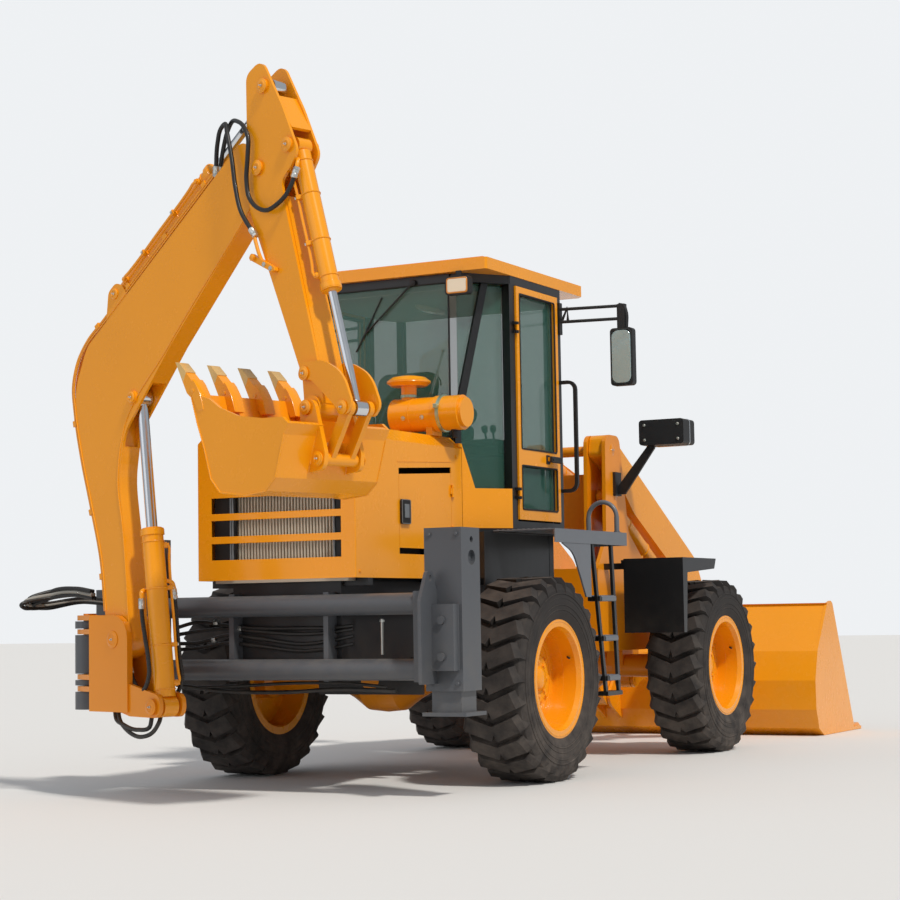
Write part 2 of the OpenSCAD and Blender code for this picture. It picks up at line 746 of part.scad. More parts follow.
module loader_arms() {
    outline = rounded([
        [1975, 2010, 40], [2010, 2155, 60], [2160, 2145, 90], [3640, 1340, 260], [4150, 620, 150],
        [4310, 300, 60], [4220, 215, 60], [4120, 300, 60], [3830, 640, 200], [3330, 1205, 260],
        [2500, 1640, 200], [2160, 1930, 100]
    ]);
    color(paint) place() difference() {
        union() {
            both() {
                wall(arm_in, arm_out) polygon(outline);
                for (x = [arm_in, arm_out - 12])
                    wall(x, x + 12) polygon(rounded([
                        [3180, 1330], [3190, 1080, 50], [3250, 1030, 60], [3350, 1030, 60], [3420, 1150, 60], [3430, 1220]
                    ]));
            }
            axle([3480, 1200], 70, -arm_in - 10, arm_in + 10);
            for (x = [-80, 55]) wall(x, x + plate) polygon(rounded([
                [3430, 1180], [3500, 1240], [3600, 1200, 30], [3740, 1170, 55], [3760, 1050, 55], [3640, 1030, 60],
                [3480, 1150, 40]
            ]));
            axle(lever_p, 35, -80, 80);
        }
        both() axle(arm_a, 35 + run, arm_in - 1, arm_out + 1);
        both() axle(arm_b, 30 + run, arm_in - 1, arm_out + 1);
    }
}

module loader_bucket() {
    back = [
        [5500, 2], [4560, 2], [4440, 60], [4385, 200], [4380, 420], [4450, 640], [4720, 990]
    ];
    inner = [
        [4705, 1003], [4735, 1003], [4735, 975], [4478, 630], [4405, 415], [4410, 205], [4458, 78],
        [4566, 24], [5500, 24]
    ];
    color(paint) place() difference() {
        union() {
            wall(-bucket_hw, bucket_hw) polygon(concat(back, inner));
            for (x = [-bucket_hw, bucket_hw - 20]) wall(x, x + 20) polygon(rounded([
                [5330, 2], [4560, 2], [4440, 60], [4385, 200], [4380, 420], [4450, 640],
                [4720, 1000], [4810, 1020, 20], [4850, 1000, 20]
            ]));
            wall(-bucket_hw, bucket_hw) polygon([[5330, 2], [5460, 2], [5460, 32], [5330, 32]]);
            for (i = [0:7]) translate([-bucket_hw + 55 + i * (2 * bucket_hw - 110) / 7, 0, 0])
                wall(-35, 35) polygon([[5300, 2], [bucket_tip, 2], [bucket_tip, 12], [5480, 52], [5300, 40]]);
            both() for (x = [arm_in - side - plate, arm_out + side]) wall(x, x + plate) polygon(rounded([
                [4420, 120], [4220, 230, 68], [4150, 300, 60], [4220, 372, 60], [4300, 460], [4470, 640], [4400, 420]
            ]));
            both() axle(arm_b, 30, arm_in - side - plate, arm_out + side + plate);
            for (x = [-68, 43]) wall(x, x + plate) polygon(rounded([
                [4400, 420], [4260, 510, 50], [4180, 588, 55], [4245, 660, 50], [4330, 670], [4480, 660]
            ]));
        }
    }
}

module tilt_lever() {
    color(paint) place() difference() {
        union() {
            wall(-45, 45) polygon(rounded([
                [3735, 1610, 50], [3860, 1600, 50], [3870, 1480, 60], [3790, 1080, 100],
                [3640, 400, 50], [3510, 400, 50], [3500, 520, 60], [3590, 1120, 100], [3700, 1490, 60]
            ]));
            axle(lever_l, 28, -80, 80);
        }
        axle(lever_p, 35 + run, -50, 50);
        box(-30, 30, 3600, 3900, 1465, 1700);
    }
}

module tilt_link() {
    l = dist(lever_l, link_q);
    color(paint) place() difference() {
        union() {
            for (x = [-75, 50]) along_side(lever_l, link_q, x + 12.5) {
                slab(-12.5, 12.5) polygon([[0, -30], [l - 150, -30], [l - 150, 30], [0, 30]]);
                cross([0, 0], 55, -12.5, 12.5);
            }
            along_side(lever_l, link_q, 0) {
                slab(-70, 70) polygon([[l - 220, -26], [l - 160, -26], [l - 160, 26], [l - 220, 26]]);
                slab(-36, 36) polygon([[l - 200, -22], [l, -22], [l, 22], [l - 200, 22]]);
                cross([l, 0], 48, -36, 36);
            }
        }
        axle(lever_l, 28 + run, -90, 90);
    }
}

lift_len = dist(lift_c, lift_d);
tilt_len = dist(arm_a, lever_u);

module lift_barrels() {
    color(paint) place() for (x = [-arm_x, arm_x])
        along_side(lift_c, lift_d, x) barrel(loader_cyl_r, 1090, 28, 48, 80, 25);
}

module lift_rods() {
    color(chrome) place() for (x = [-arm_x, arm_x])
        along_side(lift_c, lift_d, x) rod(28, 560, lift_len, 46, 60);
}

module tilt_barrel() {
    color(paint) place() along_side(arm_a, lever_u, 0) barrel(loader_cyl_r, 1180, 28, 62, 100, 35);
}

module tilt_rod() {
    color(chrome) place() along_side(arm_a, lever_u, 0) rod(28, 600, tilt_len, 46, 50);
}

// Side shift frame with the stabilisers' outer boxes

stab_x = 910;
stab_z0 = 560;
stab_z1 = 1415;
stab_back_r = -1200;
stab_back_l = -1140;

module stab_box(x0, y0) {
    difference() {
        box(x0, x0 + stab_w, y0, y0 + stab_d, stab_z0, stab_z1);
        box(x0 + stab_wall, x0 + stab_w - stab_wall, y0 + stab_wall, y0 + stab_d - stab_wall,
            stab_z0 - 1, stab_z1 - 15);
        // Round hole and keyhole in the outer wall
        axle([y0 + 118, 1258], 40, x0 < 0 ? x0 - 1 : x0 + stab_w - stab_wall - 1, x0 < 0 ? x0 + stab_wall + 1 : x0 + stab_w + 1);
        axle([y0 + 118, 1352], 17, x0 < 0 ? x0 - 1 : x0 + stab_w - stab_wall - 1, x0 < 0 ? x0 + stab_wall + 1 : x0 + stab_w + 1);
    }
}

module slide_frame() {
    color(grey) place() {
        for (z = [tube_z0, tube_z1]) axle([-tube_y, z], tube_r, -1170, 892);
        both() box(frame_hw - 60, frame_hw - 30, -tube_y, -1120 - seat, 610, 1090);
        difference() {
            wall(962, 982) polygon(rounded([
                [-1376, 600, 12], [-1376, 1040, 60], [-1300, 1186, 26], [-1250, 1186, 26],
                [-1199, 1090], [-1199, 600]
            ]));
            axle([-1268, 1151], 17, 950, 990);
        }
        box(880, 964, -1275, -1199, 610, 1085);
        box(980, 1110, -1262, -1199, 668, 1014);
        for (z = [740, 930]) translate([1040, -1262, z]) rotate([90, 0, 0]) cylinder(r = 22, h = 16);
        wall(-1170, -1150) polygon([[-1270, 600], [-1270, 1090], [-1130, 1090], [-1130, 600]]);
        stab_box(stab_x, stab_back_r);
        stab_box(-stab_x - stab_w, stab_back_l);
        box(-1020, -930, -1175, -1135, 640, 1060);
    }
}

module stab_leg(x0, y0) {
    gap = seat;
    w = stab_w - 2 * stab_wall;
    d = stab_d - 2 * stab_wall;
    x = x0 + stab_wall + gap;
    y = y0 + stab_wall + gap;
    box(x, x + w - 2 * gap, y, y + d - 2 * gap, 450, 1380);
    box(x0 - 20, x0 + stab_w + 20, y0 - 10, y0 + stab_d + 10, 430, 450);
}

module stab_leg_r() { color(grey) place() stab_leg(stab_x, stab_back_r); }
module stab_leg_l() { color(grey) place() stab_leg(-stab_x - stab_w, stab_back_l); }

carriage_hw = 180;
king_noses = [[475, 570], [606, 634], [670, 880], [915, 955]];
king_lugs = [[574, 602], [638, 666], [884, 911], [959, 987]];

module carriage() {
    kx = king[0];
    ky = king[1];
    color(grey) place() difference() {
        union() {
            box(kx - carriage_hw, kx + carriage_hw, -1330, -1210, tube_z1 - 60, tube_z1 + 110);
            box(kx - carriage_hw, kx + carriage_hw, -1330, -1210, tube_z0 - 110, tube_z0 + 60);
            box(kx - carriage_hw, kx + carriage_hw, -1330, -1290, tube_z0 - 110, tube_z1 + 110);
            box(kx - 80, kx + 80, ky + 95, -1320, 475, 955);
            for (n = king_noses) {
                translate([kx, ky, n[0]]) cylinder(r = 80, h = n[1] - n[0]);
                box(kx - 80, kx + 80, ky, ky + 100, n[0], n[1]);
            }
        }
        for (z = [tube_z0, tube_z1]) axle([-tube_y, z], tube_r + 0.5, kx - 500, kx + 500);
        translate([kx, ky, 400]) cylinder(r = king_r + run, h = 700);
    }
}

// Swing post and the digging arm, all in the backhoe's plane

cheek_in = boom_hw + side;
cheek_out = 98;

module swing_post() {
    color(paint_dark) hoe() {
        for (l = king_lugs) {
            translate([0, 0, l[0]]) cylinder(r = 68, h = l[1] - l[0]);
            translate([0, 0, l[0]]) linear_extrude(l[1] - l[0])
                polygon([[0, -68], [140, -cheek_out], [140, cheek_out], [0, 68]]);
        }
        translate([0, 0, 478]) cylinder(r = king_r, h = 518);
        for (y = [-cheek_out, cheek_in]) slab(y, y + cheek_out - cheek_in) polygon(rounded([
            [130, 470], [130, 985, 8], [pin_f[0] + 130, 985, 128], [pin_f[0] + 130, 470]
        ]));
        slab(-cheek_in - 1, cheek_in + 1) polygon([
            [130, 470], [130, 985], [165, 985], [165, 505], [475, 505], [475, 470]
        ]);
        for (y = [-87, 62]) slab(y, y + 25) polygon(rounded([
            [400, 470], [400, 640], [475, 620], [pin_g[0] + 62, pin_g[1] + 58, 50],
            [pin_g[0] + 60, pin_g[1] - 58, 50], [480, 450]
        ]));
        cross(pin_f, 30, -cheek_out, cheek_out);
        cross(pin_g, 25, -95, 95);
        for (y = [-99, 87]) cross(pin_g, 38, y, y + 12);
    }
}

boom_line = [
    [240, 860], [190, 1280], [10, 1853, 600], [-66, 2200, 320], [60, 2460, 200], [201, 2555, 300],
    [1409, 3373, 60], [1600, 3287], [1612, 3138], [1440, 2970, 40], [808, 2387, 500],
    [400, 1960, 260], [352, 1709, 500], [396, 1439, 800], [450, 860]
];

module boom() {
    color(paint) hoe() difference() {
        union() {
            slab(-boom_hw, boom_hw) polygon(rounded(boom_line));
            cross(pin_f, 105, -boom_hw, boom_hw);
            cross(pin_e, 85, -boom_hw, boom_hw);
            for (y = [-boom_hw, boom_hw - 11]) slab(y, y + 11) polygon(rounded([
                [240, 2560], [262, 2740, 50], [330, 2785, 50], [390, 2760, 50], [440, 2700]
            ]));
            cross(pin_c, 22, -boom_hw, boom_hw);
            for (y = [-boom_hw - 12, boom_hw]) {
                cross(pin_h, 36, y, y + 12);
            }
        }
        slab(-43, 43) polygon([[pin_h[0] - 113, 1890], [pin_h[0] - 113, 2212], [700, 2212], [700, 1890]]);
        cross(pin_f, 30 + run, -100, 100);
        cross(pin_e, 30 + run, -100, 100);
    }
}

dip_in = boom_hw + side;
dip_out = dip_in + dipper_plate;

module dipper() {
    head = rounded([
        [1484, 3266], [1478, 3700, 60], [1600, 3760, 60], [1752, 3498, 500], [1870, 3250, 60],
        [1820, 3180, 60], [1745, 3120, 60], [1768, 3002], [2010, 2160], [2045, 1985, 60],
        [1975, 1900, 60], [1905, 1960, 50], [1889, 2125], [1504, 2991]
    ]);
    core = [
        [1504, 2960], [1500, 2965], [1768, 3040], [2010, 2160], [2036, 1985], [1915, 1960],
        [1889, 2125]
    ];
    color(paint) hoe() difference() {
        union() {
            for (y = [-dip_out, dip_in]) slab(y, y + dipper_plate) polygon(head);
            slab(-dip_in - 1, dip_in + 1) polygon(core);
            slab(-dip_in - 1, dip_in + 1) polygon([[1700, 3560], [1812, 3380], [1798, 3371], [1686, 3551]]);
            cross(pin_e, 30, -dip_out, dip_out);
            cross(pin_b, 22, -dip_out, dip_out);
            cross(pin_d2, 60, -100, 100);
            for (p = [pin_e, pin_b, pin_t], y = [-dip_out - 10, dip_out]) cross(p, 34, y, y + 10);
        }
        cross(pin_d1, 22 + run, -200, 200);
        cross(pin_d2, 25 + run, -200, 200);
    }
}

rock_in = dip_out + side;
rock_out = rock_in + 15;
ear_in = 106;
ear_out = 130;

module rocker() {
    color(paint) hoe() {
        for (y = [-rock_out, rock_in]) slab(y, y + 15) polygon(rounded([
            [1880, 2110, 30], [1895, 2195, 40], [2062, 2190, 200], [2200, 2120, 200],
            [2270, 1960, 50], [2200, 1895, 45], [2140, 1966, 60], [1974, 2102, 60]
        ]));
        cross(pin_d1, 22, -rock_out, rock_out);
        for (y = [-rock_out, 42]) cross(pin_r, 22, y, y + rock_out - 42);
        for (p = [pin_d1, pin_r], y = [-rock_out - 4, rock_out]) cross(p, 30, y, y + 4);
    }
}

module hoe_link() {
    l = dist(pin_r, pin_l);
    color(paint) hoe() difference() {
        union() {
            along(pin_r, pin_l) {
                for (y = [-76, 48]) {
                    cross([0, 0], 38, y, y + 28);
                    slab(y, y + 28) polygon([[0, -30], [l - 20, -26], [l - 20, 26], [0, 30]]);
                }
                cross([l, 0], 32, -ear_in + side, ear_in - side);
            }
        }
        cross(pin_r, 22 + run, -120, 120);
    }
}

module hoe_bucket() {
    hw = hoe_bucket_hw;
    outer = [
        [1335, 2065], [1384, 1922], [1440, 1790], [1490, 1640], [1560, 1570], [1740, 1548],
        [1900, 1560], [1975, 1620], [2040, 1821], [hoe_corner_u, 1873]
    ];
    inner = [
        [2050, 1885], [2022, 1826], [1958, 1630], [1893, 1578], [1740, 1566], [1568, 1587],
        [1507, 1648], [1457, 1797], [1401, 1929], [1353, 2072]
    ];
    color(paint) hoe() {
        difference() {
            slab(-hw, hw) polygon(concat(outer, inner));
            // Relief between the ears for the dipper's end
            box(1960, 2100, -ear_in + 4, ear_in - 4, 1795, 1900);
        }
        for (y = [-hw, hw - 18]) slab(y, y + 18) polygon(concat(outer, [
            [2030, 1905], [1880, 1910], [1700, 1935], [1560, 1985], [1480, 2035], [1400, 2062]
        ]));
        for (v = [-3, -1, 1, 3]) translate([0, v * (hw - 30) / 3, 0])
            slab(-30, 30) polygon([
                [1212, 2240], [1236, 2236], [1330, 2150], [1400, 2070], [1425, 1985], [1395, 1985],
                [1340, 2050], [1300, 2080]
            ]);
        for (y = [-ear_out, ear_in]) slab(y, y + ear_out - ear_in) polygon(rounded([
            [1920, 1990, 50], [2025, 2010, 50], [2105, 1740, 40], [2095, 1660, 40], [1990, 1650],
            [2030, 1821], [1930, 1900, 30]
        ]));
        cross(pin_d2, 25, -ear_out, ear_out);
        for (p = [pin_d2, pin_l], y = [-ear_out - 8, ear_out]) cross(p, 32, y, y + 8);
    }
}

boom_len = dist(pin_g, pin_h);
dip_len = dist(pin_c, pin_t);
buc_len = dist(pin_b, pin_r);

module boom_barrel() {
    color(paint) hoe() along(pin_g, pin_h) barrel(boom_cyl_r, 942, 30, 56, 90, 25);
}

module boom_rod() {
    color(chrome) hoe() along(pin_g, pin_h) rod(30, 650, boom_len, 50, 72);
}

module dipper_barrel() {
    color(paint) hoe() along(pin_c, pin_t) barrel(hoe_cyl_r, 975, 22, 44, 84, 22);
}

module dipper_rod() {
    color(chrome) hoe() along(pin_c, pin_t) rod(22, 630, dip_len, 42, 72);
}

module bucket_barrel() {
    color(paint) hoe() along(pin_b, pin_r) barrel(hoe_cyl_r, 780, 22, 44, 84, 22);
}

module bucket_rod() {
    color(chrome) hoe() along(pin_b, pin_r) rod(22, 650, buc_len, 40, 70);
}

rear_frame();
rear_axle();
slide_frame();
engine();
radiator();
hood();
hood_door_r();
hood_door_l();
air_cleaner();
rear_fenders();
platforms();
ladders();
side_tanks();
cab_shell();
cab_roof();
cab_glass();
cab_door_r();
cab_door_l();
door_glass_r();
door_glass_l();
seat_unit();
controls();
cab_fittings();
front_frame();
front_axle();
front_fenders();
headlamps();
loader_arms();
loader_bucket();
tilt_lever();
tilt_link();
lift_barrels();
lift_rods();
tilt_barrel();
tilt_rod();
tyre_rr();
tyre_rl();
tyre_fr();
tyre_fl();
rim_rr();
rim_rl();
rim_fr();
rim_fl();
carriage();
swing_post();
boom();
dipper();
hoe_bucket();
rocker();
hoe_link();
boom_barrel();
boom_rod();
dipper_barrel();
dipper_rod();
bucket_barrel();
bucket_rod();
stab_leg_r();
stab_leg_l();
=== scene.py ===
# %% [markdown]
# # A backhoe loader, dressed over its CAD frame
# The imported model is the fixed frame. Every piece that is made here sits on it, in metres, with X to the
# machine's right, Y forward to the loader bucket and Z up.

# %% Load the frame
import json
import math
import bmesh
import bpy
import numpy as np
from mathutils import Matrix, Vector


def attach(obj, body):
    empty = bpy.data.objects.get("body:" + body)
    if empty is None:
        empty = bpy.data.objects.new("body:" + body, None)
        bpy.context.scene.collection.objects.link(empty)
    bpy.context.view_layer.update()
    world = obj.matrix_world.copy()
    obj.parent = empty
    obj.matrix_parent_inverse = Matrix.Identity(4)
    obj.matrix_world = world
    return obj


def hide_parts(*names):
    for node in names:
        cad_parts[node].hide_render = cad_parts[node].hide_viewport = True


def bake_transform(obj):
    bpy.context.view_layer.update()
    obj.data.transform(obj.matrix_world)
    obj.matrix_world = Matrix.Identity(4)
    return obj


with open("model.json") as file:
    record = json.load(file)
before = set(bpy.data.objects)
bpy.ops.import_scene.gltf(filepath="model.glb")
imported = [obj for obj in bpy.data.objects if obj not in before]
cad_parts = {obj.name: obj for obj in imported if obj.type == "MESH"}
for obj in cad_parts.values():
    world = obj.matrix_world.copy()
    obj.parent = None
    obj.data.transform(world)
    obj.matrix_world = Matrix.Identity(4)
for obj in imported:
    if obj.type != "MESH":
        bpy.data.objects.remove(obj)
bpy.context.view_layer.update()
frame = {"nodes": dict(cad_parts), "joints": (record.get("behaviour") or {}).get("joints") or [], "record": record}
nodes = frame["nodes"]
scene = bpy.context.scene
scene.view_settings.view_transform = "Standard"

# %% [markdown]
# ## Camera
# The photograph was taken low, from behind and to the right, with a long lens. The camera's place comes from
# a fit of the machine's own points. A long lens keeps the wheels round and the cab's pillars upright.

# %% Camera
def look_matrix(place, yaw, pitch, roll):
    """Columns are the camera's right, up and backward directions: yaw turns from +Y toward -X, pitch lifts the
    view, and roll turns the picture about the view."""
    y, p, r = (math.radians(a) for a in (yaw, pitch, roll))
    forward = Vector((-math.sin(y) * math.cos(p), math.cos(y) * math.cos(p), math.sin(p)))
    right = Vector((math.cos(y), math.sin(y), 0))
    up = right.cross(forward)
    turned = right * math.cos(r) - up * math.sin(r)
    upright = up * math.cos(r) + right * math.sin(r)
    out = Matrix((turned, upright, -forward)).transposed().to_4x4()
    out.translation = place
    return out


FOCAL_PIXELS, PICTURE_WIDTH, SENSOR = 2083.5, 900, 36
lens = bpy.data.cameras.new("camera")
lens.sensor_width = SENSOR
lens.lens = FOCAL_PIXELS / PICTURE_WIDTH * SENSOR
lens.clip_end = 200
camera = bpy.data.objects.new("camera", lens)
scene.collection.objects.link(camera)
camera.matrix_world = look_matrix((6.191, -12.3326, 0.957), yaw=28.0, pitch=4.525, roll=0.931)
scene.camera = camera
print("camera at", [round(v, 2) for v in camera.location])

# %% [markdown]
# ## Studio
# A pale floor and a pale world stand in for the yard. One broad lamp high on the right is the key, as the sun
# is in the photograph, and a weak one fills from the left. The floor keeps the shadow, and the world is white
# only for camera and glass rays, so the background adds no light to the object and no haze to its gloss.

# %% Floor
YARD = 60
floor_mesh = bpy.data.meshes.new("floor")
floor_mesh.from_pydata([(-YARD, -YARD, 0), (YARD, -YARD, 0), (YARD, YARD, 0), (-YARD, YARD, 0)], [],
                       [(0, 1, 2, 3)])
floor = bpy.data.objects.new("floor", floor_mesh)
scene.collection.objects.link(floor)
floor_look = bpy.data.materials.new("floor_look")
floor_look.use_nodes = True
floor_bsdf = floor_look.node_tree.nodes["Principled BSDF"]
floor_bsdf.inputs["Base Color"].default_value = (0.72, 0.71, 0.69, 1)
floor_bsdf.inputs["Roughness"].default_value = 0.9
floor.data.materials.append(floor_look)

# %% World and lamps
world = bpy.data.worlds.new("world")
scene.world = world
world.use_nodes = True
wt = world.node_tree
wt.nodes.clear()
w_out = wt.nodes.new("ShaderNodeOutputWorld")
w_light = wt.nodes.new("ShaderNodeBackground")
w_seen = wt.nodes.new("ShaderNodeBackground")
w_mix = wt.nodes.new("ShaderNodeMixShader")
w_path = wt.nodes.new("ShaderNodeLightPath")
w_max = wt.nodes.new("ShaderNodeMath")
w_max.operation = "MAXIMUM"
for node, tint, strength in ((w_light, (0.9, 0.94, 1.0, 1), 0.46), (w_seen, (0.86, 0.88, 0.9, 1), 1.0)):
    node.inputs["Color"].default_value = tint
    node.inputs["Strength"].default_value = strength
wt.links.new(w_path.outputs["Is Camera Ray"], w_max.inputs[0])
wt.links.new(w_path.outputs["Is Transmission Ray"], w_max.inputs[1])
wt.links.new(w_max.outputs[0], w_mix.inputs["Fac"])
wt.links.new(w_light.outputs[0], w_mix.inputs[1])
wt.links.new(w_seen.outputs[0], w_mix.inputs[2])
wt.links.new(w_mix.outputs[0], w_out.inputs["Surface"])


def sun(name, azimuth, height, strength, angle, colour):
    """A distant lamp: azimuth is measured from +X toward +Y, height above the floor, both in degrees."""
    data = bpy.data.lights.new(name, "SUN")
    data.energy, data.angle, data.color = strength, math.radians(angle), colour
    out = bpy.data.objects.new(name, data)
    a, h = math.radians(azimuth), math.radians(height)
    ray = Vector((-math.cos(a) * math.cos(h), -math.sin(a) * math.cos(h), -math.sin(h)))
    out.rotation_euler = ray.to_track_quat("-Z", "Y").to_euler()
    scene.collection.objects.link(out)


sun("key", azimuth=-28, height=52, strength=2.45, angle=5, colour=(1.0, 0.96, 0.9))
sun("fill", azimuth=-120, height=30, strength=0.45, angle=60, colour=(0.95, 0.96, 1.0))

# %% [markdown]
# ## Shared effects
# Paint, steel and rubber on a working machine share a few effects: colour that drifts a little over a large
# panel, a fine ripple in the gloss, and pale dust that lies on upper faces and low on the machine. Each effect
# is a node group with named sockets, so every finish sets its own amounts.

# %% Node helpers
def linear(code):
    """Colour code as written on a paint chart, turned into the light values that shaders use."""
    rgb = [int(code[i:i + 2], 16) / 255 for i in (1, 3, 5)]
    return tuple(c / 12.92 if c <= 0.04045 else ((c + 0.055) / 1.055) ** 2.4 for c in rgb) + (1.0,)


def new_group(name, ins, outs):
    """An empty node group: ins and outs list (socket name, kind, start value)."""
    tree = bpy.data.node_groups.new(name, "ShaderNodeTree")
    for label, kind, value in ins:
        sock = tree.interface.new_socket(label, in_out="INPUT", socket_type="NodeSocket" + kind)
        sock.default_value = value
    for label, kind in outs:
        tree.interface.new_socket(label, in_out="OUTPUT", socket_type="NodeSocket" + kind)
    return tree, tree.nodes.new("NodeGroupInput"), tree.nodes.new("NodeGroupOutput")


def add(tree, kind, **sets):
    """A node with its properties and input values set by name."""
    node = tree.nodes.new("ShaderNode" + kind)
    for key, value in sets.items():
        if hasattr(node, key):
            setattr(node, key, value)
        else:
            node.inputs[key.replace("_", " ")].default_value = value
    return node


def math_node(tree, op, *values, clamp=False):
    """One sum on two or three values, each a number or the output of another node."""
    node = tree.nodes.new("ShaderNodeMath")
    node.operation = op
    node.use_clamp = clamp
    for i, v in enumerate(values):
        if isinstance(v, (int, float)):
            node.inputs[i].default_value = v
        else:
            tree.links.new(v, node.inputs[i])
    return node.outputs[0]


# %% Weathered surface group
def make_weather():
    """Colour drift, dust and a height: drift is slow noise, dust is noise times how far the face looks up plus
    how low it lies, and the height is fine noise."""
    tree, gin, gout = new_group(
        "weathered_surface",
        [("Base", "Color", (0.8, 0.4, 0.05, 1)), ("Dust", "Color", (0.5, 0.45, 0.38, 1)),
         ("Drift", "Float", 0.12), ("Dust Amount", "Float", 0.2), ("Low Dust", "Float", 0.3),
         ("Gloss", "Float", 0.35), ("Grain Scale", "Float", 120.0)],
        [("Color", "Color"), ("Roughness", "Float"), ("Height", "Float")])
    link = tree.links.new
    coord = add(tree, "TexCoord")
    slow = add(tree, "TexNoise", Scale=1.7, Detail=4.0)
    patch = add(tree, "TexNoise", Scale=9.0, Detail=6.0, Roughness=0.65)
    grain = add(tree, "TexNoise", Detail=2.0)
    for noise in (slow, patch, grain):
        link(coord.outputs["Object"], noise.inputs["Vector"])
    link(gin.outputs["Grain Scale"], grain.inputs["Scale"])
    drift = math_node(tree, "SUBTRACT", slow.outputs["Fac"], 0.5)
    drift = math_node(tree, "MULTIPLY", drift, gin.outputs["Drift"])
    drift = math_node(tree, "ADD", drift, 1.0)
    shade = add(tree, "VectorMath", operation="SCALE")
    link(gin.outputs["Base"], shade.inputs[0])
    link(drift, shade.inputs["Scale"])
    geo = add(tree, "NewGeometry")
    axes = add(tree, "SeparateXYZ")
    link(geo.outputs["Normal"], axes.inputs[0])
    up = math_node(tree, "MAXIMUM", axes.outputs["Z"], 0.0)
    up = math_node(tree, "POWER", up, 3.0)
    place = add(tree, "SeparateXYZ")
    link(coord.outputs["Object"], place.inputs[0])
    low = math_node(tree, "MULTIPLY_ADD", place.outputs["Z"], -0.9, 1.0)
    low = math_node(tree, "MAXIMUM", low, 0.0)
    blotch = math_node(tree, "MULTIPLY_ADD", patch.outputs["Fac"], 3.0, -1.0, clamp=True)
    top = math_node(tree, "MULTIPLY", up, gin.outputs["Dust Amount"])
    foot = math_node(tree, "MULTIPLY", low, gin.outputs["Low Dust"])
    dust = math_node(tree, "ADD", top, foot)
    dust = math_node(tree, "MULTIPLY", dust, blotch, clamp=True)
    # Of the mix node's sockets, 0 is the factor, 6 and 7 are the two colours, and output 2 is the mixed colour.
    mix = add(tree, "Mix", data_type="RGBA")
    for socket, value in ((0, dust), (6, shade.outputs[0]), (7, gin.outputs["Dust"])):
        link(value, mix.inputs[socket])
    link(mix.outputs[2], gout.inputs["Color"])
    rough = math_node(tree, "SUBTRACT", patch.outputs["Fac"], 0.5)
    rough = math_node(tree, "MULTIPLY", rough, 0.16)
    rough = math_node(tree, "ADD", rough, gin.outputs["Gloss"])
    worn = math_node(tree, "MULTIPLY", dust, 0.4)
    rough = math_node(tree, "ADD", rough, worn, clamp=True)
    link(rough, gout.inputs["Roughness"])
    link(grain.outputs["Fac"], gout.inputs["Height"])
    return tree


weathered = make_weather()
print("group:", weathered.name)

# %% [markdown]
# ## Finishes
# Each finish is one material: the shared group gives the colour, roughness and a fine height, and the shader
# itself sets what is the same all over, such as the metallic value, the coat or the specular level.

# %% Finish maker
slots = {}


def finish_of(name, base, slot, gloss=0.35, drift=0.12, dust=0.2, low=0.3, grain=120.0, bump=0.05, metallic=0.0,
              coat=0.0, specular=0.5, dust_tone="#b5a68e"):
    """A material whose colour, roughness and bump come from the weathered_surface group; slot is the name under
    which the frame knows such a finish."""
    mat = bpy.data.materials.new(name)
    mat.use_nodes = True
    tree = mat.node_tree
    bsdf = tree.nodes["Principled BSDF"]
    group = tree.nodes.new("ShaderNodeGroup")
    group.node_tree = weathered
    ripple = tree.nodes.new("ShaderNodeBump")
    for node, sets in (
            (group, {"Base": linear(base), "Dust": linear(dust_tone), "Drift": drift, "Dust Amount": dust,
                     "Low Dust": low, "Gloss": gloss, "Grain Scale": grain}),
            (ripple, {"Strength": bump, "Distance": 0.002}),
            (bsdf, {"Metallic": metallic, "Coat Weight": coat, "Coat Roughness": 0.12,
                    "Specular IOR Level": specular})):
        for label, value in sets.items():
            node.inputs[label].default_value = value
    tree.links.new(group.outputs["Color"], bsdf.inputs["Base Color"])
    tree.links.new(group.outputs["Roughness"], bsdf.inputs["Roughness"])
    tree.links.new(group.outputs["Height"], ripple.inputs["Height"])
    tree.links.new(ripple.outputs["Normal"], bsdf.inputs["Normal"])
    slots[mat.name] = slot
    return mat


yellow = finish_of("yellow_paint", "#f09a0c", "yellow_paint", gloss=0.26, coat=0.35, specular=0.35, dust=0.02,
                   low=0.05, dust_tone="#c99a4e")
deep_yellow = finish_of("frame_yellow", "#e88c08", "frame_paint", gloss=0.32, coat=0.25, specular=0.35, dust=0.05,
                        low=0.08, dust_tone="#c2924c")
grey_paint = finish_of("grey_paint", "#4a4d52", "grey_paint", gloss=0.42, dust=0.12, low=0.12, coat=0.1)
# A lighter copy of the grey paint for platforms, studs and treads: painted light of their sunlit faces.
step_grey_painted_light = finish_of("step_grey_painted_light", "#62666c", "grey_paint", gloss=0.42, dust=0.12, low=0.08, coat=0.1)
black_paint = finish_of("black_paint", "#131416", "black_paint", gloss=0.38, dust=0.1, low=0.12, coat=0.15)
tyre_rubber = finish_of("tyre_rubber", "#2b2827", "tyre_rubber", gloss=0.75, drift=0.3, dust=0.3, low=0.35,
                        grain=60, bump=0.25, specular=0.3, dust_tone="#8f8379")
plastic = finish_of("black_plastic", "#17181a", "plastic", gloss=0.55, dust=0.15, low=0.1, grain=260, bump=0.12)
cushion_cloth = finish_of("seat_cloth", "#1c1c1e", "cushion", gloss=0.85, dust=0.05, low=0.0, grain=400, bump=0.3)
iron = finish_of("engine_iron", "#4a4c4e", "engine_iron", gloss=0.6, metallic=0.3, dust=0.2, low=0.2, grain=80,
                 bump=0.3)
fins = finish_of("radiator_fins", "#cfc6b4", "fins", gloss=0.5, metallic=0.2, dust=0.1, low=0.0)
# Near black for the rear frame between the cross tubes: painted shade of the deep shadow there.
frame_painted_shade = finish_of("frame_black_painted_shade", "#1d1e21", "frame_paint", gloss=0.45, dust=0.06, low=0.08, coat=0.1)
